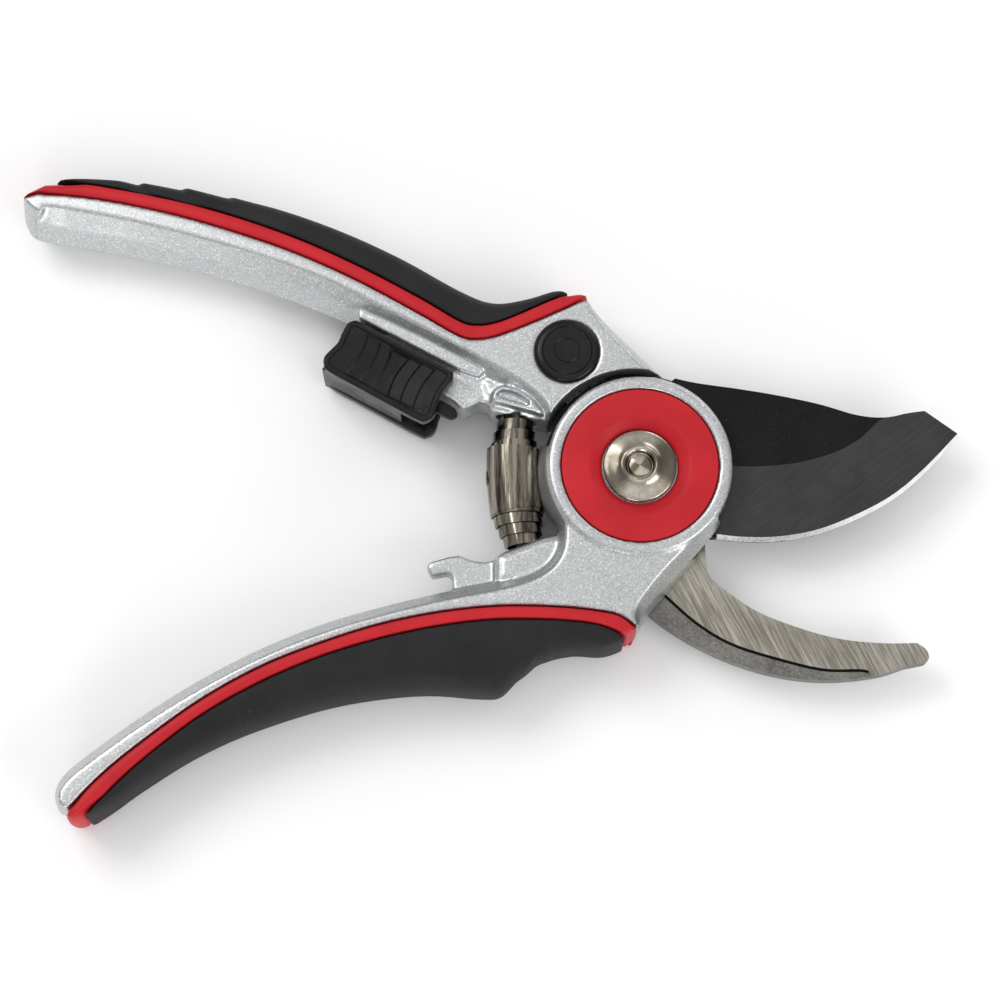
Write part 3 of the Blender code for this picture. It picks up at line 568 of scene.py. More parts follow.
def springPlace(t):
    # a place on the spring's bowed axis, t from 0 at its low end to 1
    weights = ((1 - t) * (1 - 2 * t), 4 * t * (1 - t), t * (2 * t - 1))
    return sum((springLine[k] * w for k, w in zip(("low", "middle", "high"), weights)), Vector((0.0, 0.0)))


def tang(screw):
    # the two angles at which a blade's tab leaves its round root, and the tab's round end
    place = Vector(screw["place"])
    toward = math.degrees(math.atan2(place.y, place.x))
    half = math.degrees(math.asin(tangHalf / rootRadius))
    return toward - half, toward + half, arcLine(place, tangHalf, toward + 90, toward - 90, 16)


def tangOutline(screw):
    x, y = Vector((-screw["place"][1], screw["place"][0])).normalized() * tangHalf
    return [(-x, -y, 0.0), *tang(screw)[2][::-1], (x, y, 0.0)]


def screwSeat(base, screw, face, into):
    # recess for the cap, counterbore and hole, going up (1) or down (-1) from a face
    for radius, depth in ((screw["cap"] + 0.25, casting["capDepth"]),
                          (screw["cap"] * screw["head"] + play, casting["headDepth"]),
                          (screw["shank"] + play, casting["holeDepth"])):
        low, high = sorted((face - 3 * into, face + depth * into))
        cut(base, disc(radius, low, high, screw["place"], steps=64))
    return base


def hubPlate(base, ringFace, innerFace, into, clearance):
    low, high = sorted((ringFace, innerFace + 2 * into))
    add(base, disc(casting["ringRadius"], low, high, edge=0.7, steps=128))
    for radius, start, end, centre in clearance:
        cut(base, disc(radius, start, end, centre, steps=128))
    low, high = sorted((ringFace - 2 * into, ringFace + casting["recessDepth"] * into))
    cut(base, disc(casting["capRecess"], low, high, steps=128))
    return cut(base, disc(casting["bore"], -5, 30, steps=64))


def castingSlab(name, outline, profile):
    outline = spread(counterClockwise(outline), 0.12)
    return loft([(z, movedIn(outline, share, seamGap)) for z, share in profile], name)


upperCastingShape = {
    # height, and the share of the outline's inset that it has there
    "profile": ((0.8, 1), (4.2, 0.46), (4.9, 0.38), (9.2, 0), (13.5, 0.38), (14.2, 0.46), (17.6, 1)),
    "innerSide": ((-134.2, 60.7, 0.8), (-134.2, 59.3, 1.6), (-133.9, 57.4, 2.7), (-133.3, 55.6, 3.8),
                  (-132.1, 53.7, 5), (-130.4, 52.8, 5.8), (-127.8, 52.1, 6.1), (-122.5, 51.2, 6.2),
                  (-109.2, 48.7, 6), (-95.9, 45.5, 5.7), (-82.6, 41.6, 5.5), (-69.3, 36.6, 5.5),
                  (-60.5, 32.7, 5), (-47, 26.8, 3.9), (-34, 19.9, 3.6),
                  (-27, 16, 3.3), (-21.8, 12.8, 2.2), (-19.4, 9.6, 0.8)),
    "hub": ((-13, 4, 0), (-6, 2, 0), (4, 8, 0)),
    "rightSide": ((8.9, 17.9, 0.8), (4.6, 22.7, 2.6), (-3.9, 31.2, 2.6), (-8.1, 35.2, 1.6), (-10.7, 37.2, 0.2)),
    # room for the hub, wider where the blade's heel turns: radius, low, high, centre
    "clearance": ((22.2, 5.6, 13.3, (0, 0)), (21.3, 13, 40, (-0.9, 0.1))),
    "railWeb": ((7.4, 6.8), (24, 6.8), (27.5, 7), (29.5, 7.6), (31, 6.6), (32.4, 4.6), (34.5, 3.8),
                (37, 4.2), (37, -4), (7.4, -4)),
    "webHeights": (5, 13.4),
    "railBar": ((-1, -2.6), (30, -2.6), (30, 0.1), (26, 0.75), (0.5, 0.75)), "railTop": 15,
    "lip": ((23, 6.4), (27.4, 6.6), (29.5, 7.2), (30.8, 6.3), (32.2, 4.3), (34.4, 3.5), (36.4, 3.6)),
    "lipWidth": 0.42, "lipHeight": 13.6,
    "pad": ((-41.4, 18.6), (-37.6, 16.6), (-36.4, 18.4), (-40.2, 20.6)), "padHeight": 13.6,
    "seat": ((-34, 20.5), (-32.4, 15), (-30.4, 12.8), (-21, 11), (-19.2, 11.6), (-17.5, 17),
             (-24, 20)),
    "seatHeights": (3.4, 14),
    "brow": ((-31.6, 14.6), (-31.3, 16.8), (-29.6, 18.3), (-26.6, 17.9), (-23.6, 16.2), (-21.3, 13.8),
             (-20.4, 11.7), (-22.6, 12.2), (-25.6, 13), (-28.6, 13.9)),
    "browHeight": 16.2, "browWidth": 1.1,
}


def buildUpperCasting():
    shape = upperCastingShape
    middle = heights["middle"]
    outline = smoothLine(shape["innerSide"]) + list(shape["hub"]) + smoothLine(shape["rightSide"])
    outline += flatInset(smoothLine(seams["upperInner"]))
    obj = castingSlab("upperCasting", outline, shape["profile"])
    seatLow, seatHigh = heights["hookLow"] - seatSlack, heights["hookHigh"] + seatSlack
    cut(obj, plate(tangOutline(hookScrew), seatLow, seatHigh, grow=play))
    hubPlate(obj, 0.0, heights["rearPlateTop"], 1, shape["clearance"])
    screwSeat(obj, hookScrew, heights["frontFace"], -1)
    add(obj, plate(smoothLine(shape["seat"], 4), *shape["seatHeights"], edge=1.2))
    web = alongRail(smoothLine(shape["railWeb"][:8], 4) + list(shape["railWeb"][8:]))
    add(obj, plate(web, *shape["webHeights"], edge=0.4))
    bar = alongRail(shape["railBar"])
    add(obj, plate(bar, 2 * middle - shape["railTop"], shape["railTop"], edge=0.35))
    brow = counterClockwise(flatInset(smoothLine(shape["brow"], 4), 1.0))
    browLevels = ((middle, -0.6), (13.6, 0.0), (15.4, 0.15), (shape["browHeight"], 0.6))
    add(obj, loft([(z, movedIn(brow, share)) for z, share in browLevels]))
    cut(obj, plate(movedIn(brow, 0, shape["browWidth"]), 14.3, 20))
    lip = band(alongRail(smoothLine(shape["lip"], 5)), shape["lipWidth"], shape["lipWidth"])
    for outline, high, edge in ((lip, shape["lipHeight"], 0.15), (shape["pad"], shape["padHeight"], 0.2)):
        add(obj, plate(outline, 2 * middle - high, high, edge))
    top = (springPlace(1) - springPlace(0.9)).normalized()
    cut(obj, rod(springPlace(1) - top * 6, springPlace(1) + top, 4.3))
    add(obj, rod(springPlace(1) - top * 2, springPlace(1) + top * 2.5, casting["pegRadius"], 16))
    softened(obj, casting["grain"], casting["softening"])
    return finished(shaded(obj, 60), "upper", "cast_aluminium", [silver], "upper_handle")


lowerCastingShape = {
    "profile": ((0.8, 1), (4.2, 0.3), (4.9, 0.22), (9.2, 0), (13.5, 0.22), (14.2, 0.3), (17.6, 1)),
    "innerSide": ((-18, -1, 0.6), (-18, -8, 1.4), (-18, -12.6, 2.2), (-19.3, -17.6, 3.2),
                  (-22.5, -20.9, 3.4), (-29.3, -23.3, 3.4), (-42.4, -25.9, 3.4), (-55.1, -29, 3.4),
                  (-67.7, -32.8, 3.4), (-80.3, -38, 3.4), (-92.8, -44.6, 3.3), (-105.1, -52.5, 3.2),
                  (-116.4, -61, 3), (-121.2, -65.4, 2.8), (-122.7, -69.5, 2), (-121.6, -73.2, 1)),
    "hub": ((13, -3, 0), (0, 4, 0), (-14, 3, 0)),
    "rightSide": ((-0.3, -34.5, 1), (1.4, -31.8, 2.8), (8.2, -23.9, 3.4), (15.5, -15.2, 2), (17.4, -11.6, 0.6)),
    "clearance": ((22.2, -20, 13.1, (0, 0)),),
    "hubWall": {"radius": 21.9, "inner": 18.6, "span": (163, 226), "slope": 1.9, "low": 10.3, "high": 17.2},
    "latch": ((-45.4, -20.4), (-44.2, -22.6), (-40.9, -21.9), (-40, -22.6), (-39.4, -28), (-24, -27),
              (-24, -20), (-29, -18), (-30.6, -18.9), (-33, -19.5), (-35.8, -19.1), (-38.4, -18),
              (-40.5, -18.3), (-44.4, -19.4)),
    "latchHeights": (6.4, 11.2),
    "seat": ((-30.8, -25), (-30.8, -19), (-29.3, -17.9), (-20.4, -14.4), (-16, -13.6), (-14, -22),
             (-22, -26)),
    "seatHeights": (3.6, 14.8),
    "hookRoom": ((13.8, -10), (15.5, -24), (10, -37.5), (1.2, -30.6), (-5.5, -22), (-2, -12)),
}


def buildLowerCasting():
    shape = lowerCastingShape
    outline = smoothLine(shape["innerSide"]) + flatInset(smoothLine(seams["lowerInner"][::-1]))
    outline += smoothLine(shape["rightSide"]) + list(shape["hub"])
    obj = castingSlab("lowerCasting", outline, shape["profile"])
    add(obj, plate(shape["seat"], *shape["seatHeights"], edge=2.0))
    add(obj, plate(shape["latch"], *shape["latchHeights"], edge=0.5))
    hubPlate(obj, heights["frontRing"], heights["frontPlateUnder"], -1, shape["clearance"])
    seatLow, seatHigh = heights["bladeLow"] - seatSlack, heights["bladeHigh"] + seatSlack
    cut(obj, plate(tangOutline(bladeScrew), seatLow, seatHigh, grow=play))
    cut(obj, plate(shape["hookRoom"], -4, heights["bladeLow"], grow=play))
    wall = shape["hubWall"]
    ring = counterClockwise(arcLine((0, 0), wall["radius"], *wall["span"], 24, wall["slope"])
                            + arcLine((0, 0), wall["inner"], *wall["span"][::-1], 24))
    wallLevels = ((wall["low"], 0.0), (wall["low"] + 1.5, 0.06), (wall["high"], 1.0))
    add(obj, loft([(z, movedIn(ring, share)) for z, share in wallLevels]))
    low = (springPlace(0) - springPlace(0.1)).normalized()
    add(obj, rod(springPlace(0) - low * 2, springPlace(0) + low * 3, casting["pegRadius"], 16))
    screwSeat(obj, bladeScrew, heights["rearFace"], 1)
    softened(obj, casting["grain"], casting["softening"])
    return finished(shaded(obj, 60), "lower", "cast_aluminium", [silver], "lower_handle")


# ---- red strips and soft grips

strip = {"levels": ((0.6, 1.0), (0.75, 0.55), (1.1, 0.2), (1.7, 0.0), (3.2, 0.0), (5.5, 0.0), (9.2, 0.0),
                    (12.9, 0), (15.2, 0), (16.7, 0), (17.3, 0.2), (17.65, 0.55), (17.8, 1)),
         "half": 8.6, "fullness": 2.4}  # half the height over which the ends round off, and how full they stay


def buildStrip(name, outline, body, node):
    # corners hold an edge rounding and an end rounding, which works over the whole height
    outline = spread(counterClockwise(outline), 0.1)
    rings = []
    for z, share in strip["levels"]:
        end = 1 - math.sqrt(max(0.0, 1 - (abs(z - heights["middle"]) / strip["half"]) ** strip["fullness"]))
        corners = [(x, y, edge * share + ending * end) for x, y, edge, ending in outline]
        rings.append((z, movedIn(corners, 1.0, seamGap)))
    obj = loft(rings, name)
    return finished(shaded(obj, 40), body, "red_plastic", [red], node)


def seamSide(points, edge, hubRound, tipRound):
    # rounding fades in over the last few mm of a seam, first end at the hub
    line = smoothLine(points)
    side = []
    for x, y in line:
        fromHub, fromTip = ((Vector((x, y)) - Vector(end)).length for end in (line[0], line[-1]))
        near = hubRound * (1 - fade(fromHub, 0, 4)) + tipRound * (1 - fade(fromTip, 0, 7))
        side.append((x, y, edge, near))
    return side


def upperStripOutline():
    inner = seamSide(seams["upperInner"], 0.6, 0.3, 0.5)[::-1]
    outer = seamSide(seams["upperOuter"], 0.5, 0.3, 1.8)
    hubEnd = [(-10.6, 37.9, 0.5, 1.0), (-12.2, 39.0, 0.6, 1.4)]
    tip = [(-128.8, 64.4, 0.6, 2.4), (-131.4, 63.2, 0.6, 2.6),
           (-133.3, 61.7, 0.6, 1.8), (-133.9, 60.6, 0.4, 0.8)]
    return inner + smoothLine([inner[-1], *hubEnd, outer[0]], 4)[1:-1] + outer + smoothLine(tip, 6)


def lowerStripOutline():
    inner = seamSide(seams["lowerInner"], 0.6, 0.5, 0.6)
    outer = seamSide(seams["lowerOuter"], 0.5, 0.3, 1.4)[::-1]
    tip = [(-119.8, -74.3, 0.6, 1.8), (-119.0, -75.5, 0.6, 2.4), (-117.3, -75.8, 0.6, 2.2)]
    return inner + smoothLine([inner[-1], *tip, outer[0]], 6)[1:-1] + outer + [(-3.0, -36.8, 0.5, 1.2)]


grip = {
    "low": 0.6, "high": 17.8, "levels": 14, "roundness": 2.5, "grain": 0.42, "softening": 4,
    "upperBack": ((-14.4, 39.6, 1.6), (-18, 40.3, 3.6), (-24, 38.6, 4.4), (-31, 37.7, 4.6),
                  (-38, 40.4, 4.8), (-51, 47.9, 5), (-64.5, 54.3, 4.8), (-79, 59.5, 4.4),
                  (-95, 63.4, 3.8), (-110, 65.2, 3), (-119, 65.7, 2.4), (-124.6, 65.4, 1.8),
                  (-128, 64.5, 1.4)),
    "lowerBack": ((-115.7, -75.4, 0.8), (-110.8, -72.6, 2.6), (-104, -67.8, 3.8), (-93, -60.9, 4.4),
                  (-80.3, -55.2, 4.8), (-63.5, -50.1, 5), (-46.6, -47.9, 5), (-34, -48.6, 4.8),
                  (-29.4, -48.2, 4.2), (-25.5, -44.3, 3.6), (-21, -41, 3.4), (-14.5, -39.3, 2.8),
                  (-8, -39.3, 1.6), (-3.4, -37.5, 0.5)),
    "scallop": 8.5, "scallopDepth": 0.85,
    "neckThinner": 0.13, "ridges": (-23.6, -21.0, -18.6), "ridgeWidth": 0.55, "ridgeHeight": 0.22,
}


def gripRings(outline):
    outline = spread(counterClockwise(outline), 0.15)
    half = (grip["high"] - grip["low"]) / 2
    rings = []
    for i in range(grip["levels"] + 1):
        up = -math.cos(math.pi * i / grip["levels"])  # levels crowd towards both faces
        share = 1 - (1 - abs(up) ** grip["roundness"]) ** (1 / grip["roundness"])
        rings.append((heights["middle"] + up * half, movedIn(outline, share, seamGap)))
    return rings


def pressFingerSteps(obj):
    # four slanted scallops on the back of the upper grip, each stepping over the next
    for vert in obj.data.vertices:
        x, y, z = vert.co / mm
        run = (x + 0.9 * (y - 60) + 112) / grip["scallop"]  # which scallop, and how far along it
        within = fade(x, -114, -108) * (1 - fade(x, -84, -76))
        saw = run - math.floor(run)
        dip = within * grip["scallopDepth"] * (saw * (1 - fade(saw, 0.82, 1.0)))
        side = fade(y, 54 + 0.25 * (x + 95), 62 + 0.25 * (x + 95))
        height = z - heights["middle"]
        vert.co.y -= dip * side * 0.55 * mm
        vert.co.z -= math.copysign(dip * side * min(1.0, abs(height) / 6), height) * mm


def pressThumbNeck(obj):
    # the neck beside the hub is thinner than the grip's heel
    for vert in obj.data.vertices:
        x, y, z = vert.co / mm
        slant = x - 0.75 * (y + 42)
        share = fade(slant, -31, -24) * fade(-y, 33.5, 38.5)
        height = z - heights["middle"]
        vert.co.z -= height * grip["neckThinner"] * share * mm
        ridge = sum(math.exp(-((slant - at) / grip["ridgeWidth"]) ** 2) for at in grip["ridges"])
        vert.co.z += math.copysign(grip["ridgeHeight"] * ridge * fade(-y, 39.0, 41.0), height) * mm
        vert.co.y -= 0.35 * ridge * fade(-y, 39.5, 42.0) * mm


def buildGrip(name, outline, press, body, node):
    obj = loft(gripRings(outline), name)
    softened(obj, grip["grain"], grip["softening"])
    press(obj)
    addModifier(obj, "SMOOTH", factor=0.5, iterations=1)
    return finished(shaded(obj, 60), body, "grip_rubber", [rubber], node)


# ---- blades

bladeShape = {
    "spine": ((8, 20.6), (13, 19.5), (21.9, 18.2), (30.5, 16.7), (39, 14.8), (47, 12.4), (52.9, 11.9),
              (58, 12.9), (61.5, 13.4)),
    "edge": ((69.1, 8.2), (61.5, 0.2), (54.6, -5.6), (46.9, -9.9), (38.3, -13.3), (29.8, -14.9), (22, -15),
             (16.4, -14.4)),
    "bevelLine": ((67, 18.5), (61.5, 15.6), (56.5, 13.2), (52.5, 11.8), (49.6, 9.3), (47, 6.9),
                  (42, 4.2), (34.6, 2), (27.1, 1.1), (20.3, 1.1), (12, 1.4)),
    "bareLine": ((71.6, 12.3), (68.6, 8.7), (61, 0.8), (54.2, -4.9), (46.6, -9.1), (38.1, -12.5),
                 (29.7, -14.05), (22, -14.15), (16, -13.5)),
    "beyondTip": (72, 11.9),  # carries the edge's line on past the tip
    "bevelDrop": 1.15, "edgeDrop": 2.45, "heel": 20.6, "heelLong": 21.3,
}


def lineAt(points, t):
    # a place on a smooth line, t from 0 to 1
    where = t * (len(points) - 1)
    i = min(int(where), len(points) - 2)
    t = where - i
    return Vector(points[i]) * (1 - t) + Vector(points[i + 1]) * t


def buildCuttingBlade():
    shape = bladeShape
    before, after, tab = tang(bladeScrew)
    outline = smoothLine(shape["spine"]) + smoothLine(shape["edge"])
    outline += arcLine((0, 0), rootRadius, -46, after, 12) + tab
    outline += arcLine((0, 0), shape["heel"], before, -205, 20)
    outline += arcLine((0, 0), shape["heelLong"], -212, -290, 30)
    top = heights["bladeHigh"]
    obj = plate(spread(outline, 0.08), heights["bladeLow"], top, name="cuttingBlade")
    cut(obj, disc(casting["bore"], 5, 18, steps=64))
    cut(obj, disc(bladeScrew["shank"] + play, 5, 18, bladeScrew["place"], steps=32))
    brink = (shape["beyondTip"], *shape["edge"])
    bevel, bare, edge = (smoothLine(line, 10) for line in (shape["bevelLine"], shape["bareLine"], brink))

    def grind(across, up):
        # from the bevel line down to the bare strip, then steeply over the edge
        strop, rim = lineAt(bare, across), lineAt(edge, across)
        lines = [(lineAt(bevel, across), top), (strop, top - shape["bevelDrop"]), (rim, top - shape["edgeDrop"]),
                 (strop + (rim - strop) * 3.0, top - shape["edgeDrop"] - 2.4)]
        where = up * 3
        i = min(int(where + 1e-6), 2)
        t = where - i
        flat = lines[i][0] * (1 - t) + lines[i + 1][0] * t
        lift = 0.001 if i == 0 and t < 0.01 else 0  # keeps the first line just off the flat face
        return (flat.x, flat.y, lines[i][1] * (1 - t) + lines[i + 1][1] * t + lift)

    tool = formed("tool", 96, 3, grind)
    raiseSolid(tool, 6)
    cut(obj, tool)
    rounded(obj, 0.1, 2, 40)
    shaded(obj, 4)
    obj = finished(obj, "lower", "coated_blade", [coatFlat, coatBevelPaintedLight, bareEdge], "cutting_blade")
    for face in obj.data.polygons:
        middle = face.center / mm
        tilt = math.degrees(math.acos(max(-1.0, min(1.0, face.normal.z))))
        if middle.z > heights["bladeLow"] + 0.2 and middle.x > 14:  # front face, clear of the hub
            bare = 25 < tilt < 80 and middle.z < top - 1.0
            # faces tilted 1.5 to 25 degrees take the lighter coat copy, painted light for their tilt
            face.material_index = 2 if bare else 1 if 1.5 < tilt <= 25 else 0
    return obj


def raiseSolid(obj, rise):
    # a sheet extruded straight up into a closed solid
    pick(obj)
    bpy.ops.object.mode_set(mode="EDIT")
    bpy.ops.mesh.select_all(action="SELECT")
    bpy.ops.mesh.extrude_region_move(TRANSFORM_OT_translate={"value": (0, 0, rise * mm)})
    shape = bmesh.from_edit_mesh(obj.data)
    for vert in shape.verts:
        if vert.select:
            vert.co.z = (heights["bladeHigh"] + rise) * mm
    bmesh.update_edit_mesh(obj.data)
    closeUp()
    return obj


hookShape = {
    "mouth": ((14.2, -19), (14.6, -21.4), (16.4, -23.9), (24.4, -29.7), (33.9, -33.6), (42.3, -35.9),
              (50.7, -36.8), (58.6, -36.8)),
    "tip": ((58.6, -36.8), (60.4, -38.1), (61, -39.8), (60.3, -40.9), (58.6, -41.3)),
    "back": ((56.1, -41.8), (50, -43.7), (41, -44.7), (33, -44.3), (25.5, -42.8), (17.1, -39.8),
             (8.6, -35.3), (1.9, -30.2), (-4.5, -22)),
    "step": ((3.4, -23.9), (5.4, -26.2), (12.1, -32.3), (19.4, -36.8), (29.1, -40), (38.7, -42.3),
             (47.2, -42.5), (48.6, -43.9), (49.6, -45.4)),
    "beyond": ((49, -48), (41, -48.5), (25, -46.5), (8, -39), (-4, -28)),
    "stepDepth": 0.55, "groove": 0.24, "grooveDepth": 1.4,
}


def buildHook():
    shape = hookShape
    before, after, tab = tang(hookScrew)
    outline = smoothLine(shape["mouth"]) + smoothLine(shape["tip"], 5) + smoothLine(shape["back"])
    outline += arcLine((0, 0), rootRadius, -105, after - 360, 24) + tab
    outline += arcLine((0, 0), rootRadius, before, -46, 30)
    top = heights["hookHigh"]
    obj = plate(spread(outline, 0.08), heights["hookLow"], top, name="hookBlade")
    cut(obj, disc(casting["bore"], 0, 18, steps=64))
    cut(obj, disc(hookScrew["shank"] + play, 0, 18, hookScrew["place"], steps=32))
    step = smoothLine(shape["step"], 6)
    cut(obj, plate(step + list(shape["beyond"]), top - shape["stepDepth"], top + 3))
    groove = band(step[:-10], 0.2 * shape["groove"], 2 * shape["groove"])
    cut(obj, plate(groove, top - shape["grooveDepth"], top + 3))
    rounded(obj, 0.12, 2, 40)
    shaded(obj, 15)
    obj = finished(obj, "upper", "ground_steel", [hookSteel, hookBand, coatFlat], "counter_blade")
    for face in obj.data.polygons:
        depth = top - face.center.z / mm
        upright = face.normal.z > 0.5
        face.material_index = 2 if upright and 1.0 < depth < 1.6 else 1 if depth > 0.3 else 0
    return obj


# ---- hub: caps, bolt, nut

hubCap = {"radius": 16.65, "hole": 8.1, "cone": 10.8, "coneDrop": 1.65, "set": 0.3, "thickness": 2.2,
          "edge": 0.35}


def buildHubCap(name, face, into, body, node):
    shape = hubCap
    back = shape["set"] + shape["thickness"]
    section = ((shape["hole"], back), (shape["hole"], shape["set"] + shape["coneDrop"]),
               (shape["cone"], shape["set"]), (shape["radius"], shape["set"]), (shape["radius"], back))
    obj = turned(name, [(radius, face + depth * into) for radius, depth in section], steps=160)
    rounded(obj, shape["edge"], 4, 15)
    return finished(shaded(obj, 35), body, "red_plastic", [red], node)


bolt = {
    "shank": ((0, 0.0), (3.6, 0.0), (4.0, 0.4), (4.0, 16.5)),  # radius and height
    # radius and depth below the bolt's top
    "head": ((7.5, 2.4), (7.8, 2.1), (7.8, 1.5), (7.55, 1.32), (6.6, 1.12), (5.6, 0.88), (4.8, 0.60),
             (4.25, 0.28), (3.95, 0.06), (3.6, 0), (3.35, 0.04), (3.0, 0.35), (2.85, 1.5), (2.53, 1.6),
             (2.45, 1.2), (2.15, 1.02), (0, 0.98)),
}


def buildBolt():
    head = [(radius, heights["boltTop"] - depth) for radius, depth in bolt["head"]]
    obj = turned("pivotBolt", list(bolt["shank"]) + head, steps=128)
    rounded(obj, 0.12, 2, 30)
    return finished(shaded(obj, 40), "upper", "nickel", [nickel], "pivot_bolt")


def buildNut():
    obj = disc(7.8, 0.0, 1.7, edge=0.3, name="pivotNut")
    cut(obj, disc(4.3, -3, 5, steps=64))
    slot = ((-8.6, 0.7), (-8.6, -0.7), (-5.9, -0.7), (-5.9, 0.7))
    cut(obj, plate(slot, -1, 0.7))
    cut(obj, plate([(-x, y) for x, y in slot], -1, 0.7))
    rounded(obj, 0.12, 2, 30)
    return finished(shaded(obj, 35), "upper", "nickel", [nickel], "pivot_nut")


def buildScrewCap(name, screw, face, into, body, node):
    radius = screw["cap"]
    section = ((0, 0.6), (radius, 0.6), (radius, -0.25), (radius - 0.25, -0.5), (radius - 0.8, -0.66),
               (radius - 1.3, -0.7), (radius - 1.42, -0.58), (radius - 1.54, -0.7), (radius * 0.42, -0.7),
               (radius * 0.42 - 0.14, -0.6), (radius * 0.42 - 0.28, -0.7), (0, -0.72))
    obj = turned(name, [(r, face + depth * into) for r, depth in section], screw["place"], 96)
    return finished(shaded(obj, 30), body, "black_plastic", [blackGloss], node)


# ---- lock

lock = {
    "outline": ((0.9, 1.8), (-0.4, 3.2), (-0.4, 6), (-0.2, 8), (-0.8, 10.4), (-1.2, 12.2), (-0.4, 13.9),
                (1.4, 14.7), (10, 14.9), (22.6, 15.1), (24.8, 14.5), (25.7, 12.6), (25.2, 9.8), (24.9, 7.2),
                (25.4, 4.2), (25, 2.7), (23.4, 1.9), (12, 1.9)),
    "front": (13.8, 16.8), "rear": (1.6, 4.6), "rim": 1.25, "dish": 0.4, "drop": 0.5,
    "treads": ((4.3, 21.4), (7.4, 18.2), (10.2, 15.2)), "bulge": 0.8, "riser": 0.5, "wallLow": 1.9,
    "sideWall": ((-0.6, 12.5), (18.6, 12.5), (18.6, 14.6), (-0.6, 14.5)),
    "endWall": ((-0.3, 3.2), (1.3, 3.2), (1.3, 14.2), (-0.3, 13.2)),
    "ribs": (6, 10, 14, 18),
    "tongue": ((27.2, 8.1), (28.6, 8.3), (29.5, 9.1), (29.5, 10.1), (28.6, 10.9), (27.2, 11)),
}


def lockOutline():
    line = lock["outline"]
    return spread(alongRail(smoothLine([*line, line[0]], 4)[:-1]), 0.2)


def buildLockShell():
    low, high = lock["front"]
    outline = counterClockwise(lockOutline())
    levels = [(low, 0.5), (low + 0.15, 0.15), (low + 0.5, 0.0), (high - 0.5, 0.0), (high - 0.15, 0.15),
              (high, 0.5), (high, lock["rim"] - 0.15), (high - 0.2, lock["rim"]),
              (high - lock["dish"], lock["rim"] + 0.15)]
    obj = loft([(z, movedIn(outline, 0, inset)) for z, inset in levels], "lockShell")
    for i, (left, right) in enumerate(lock["treads"]):
        floor = high - lock["dish"] - lock["drop"] * (i + 1)
        near, far = 3.3 + 0.12 * i, 13.5
        arcs = []
        for at, way in ((left, 1), (right, -1)):
            arcs.append([(at + way * lock["bulge"] * (1 - (2 * t / 12 - 1) ** 2), near + t / 12 * (far - near))
                         for t in range(13)])
        tread = counterClockwise(flatInset(alongRail(arcs[0] + arcs[1][::-1]), lock["riser"]))
        sloped, straight = movedIn(tread), movedIn(tread, 0)
        cut(obj, loft([(floor, sloped), (floor + lock["drop"], straight), (high + 3, straight)]))
    for wall in (lock["sideWall"], lock["endWall"]):
        add(obj, plate(alongRail(wall), lock["wallLow"], low + 0.9))
    rounded(obj, 0.13, 3, 35)
    return finished(shaded(obj, 22), "slider", "black_plastic", [blackGloss], "lock_slider")


def buildLockBack():
    low, high = lock["rear"]
    obj = plate(lockOutline(), low, high, edge=0.6, name="lockBack")
    for at in lock["ribs"]:
        rib = alongRail(((at - 0.5, 4.6), (at + 0.5, 4.6), (at + 0.5, 12.2), (at - 0.5, 12.2)))
        cut(obj, plate(rib, low - 1, low + 0.5))
    rounded(obj, 0.12, 2, 35)
    return finished(shaded(obj, 35), "slider", "black_plastic", [blackGloss], "lock_slider_back")


def buildLockTongue():
    outline = alongRail([(9.0, 10.8), (9.0, 8.3), *smoothLine(lock["tongue"], 5)])
    obj = plate(spread(outline, 0.06), 11.5, 13.5, edge=0.5, name="lockTongue")
    return finished(shaded(obj, 35), "slider", "black_plastic", [blackGloss], "lock_detent")


# ---- spring

spring = {
    "length": 28.4, "thickness": 0.36, "perTurn": 44,
    "lower": {"turns": 4.9, "radius": (3.4, 5.72), "full": 4.0, "lowEdge": (-2.8, 6.2), "highEdge": (15.0, 20.2)},
    "upper": {"turns": 3.3, "radius": (3.3, 5.1), "full": 3.3, "lowEdge": (17.0, 17.0), "highEdge": (28.6, 20.6)},
    "tab": (-26.3 - 6.35, -0.9), "tabHeight": 4.2, "tabWidth": 2.6, "tabThickness": 0.3,
}


def springStrip(name, part, startAngle):
    turns = part["turns"]

    def place(across, up):
        turn = across * turns
        share = min(1.0, turn / part["full"])
        radius, low, high = (part[k][0] + (part[k][1] - part[k][0]) * share
                             for k in ("radius", "lowEdge", "highEdge"))
        radius += 0.04 * max(0.0, turn - part["full"])
        along = (low + (high - low) * up) / spring["length"]
        here = springPlace(along)
        run = (springPlace(along + 0.01) - springPlace(along - 0.01)).normalized()
        angle = startAngle + 2 * math.pi * turn
        flat = here + Vector((run.y, -run.x)) * radius * math.cos(angle)
        return (flat.x, flat.y, heights["middle"] + radius * math.sin(angle))

    return formed(name, int(turns * spring["perTurn"]), 10, place, spring["thickness"])


def buildSpring():
    lower = springStrip("volute", spring["lower"], math.radians(200))
    upper = springStrip("tool", spring["upper"], math.radians(140))
    x, y = spring["tab"]
    tab = formed("tool", 12, 10, lambda across, up: (
        x + 0.5 * (2 * up - 1) ** 2, y + (up - 0.5) * spring["tabHeight"],
        heights["middle"] + 0.6 + (across - 0.5) * spring["tabWidth"] * (1 - (2 * up - 1) ** 4)),
        spring["tabThickness"])
    bpy.ops.object.select_all(action="DESELECT")
    for obj in (upper, tab, lower):
        obj.select_set(True)
    bpy.context.view_layer.objects.active = lower
    bpy.ops.object.join()
    lower.name = "voluteSpring"
    shaded(lower, 35)
    obj = finished(lower, None, "spring_nickel", [springNickel], "volute_spring")
    low, high = springPlace(0.04), springPlace(0.94)
    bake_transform(obj)
    return obj


# ---- the whole object

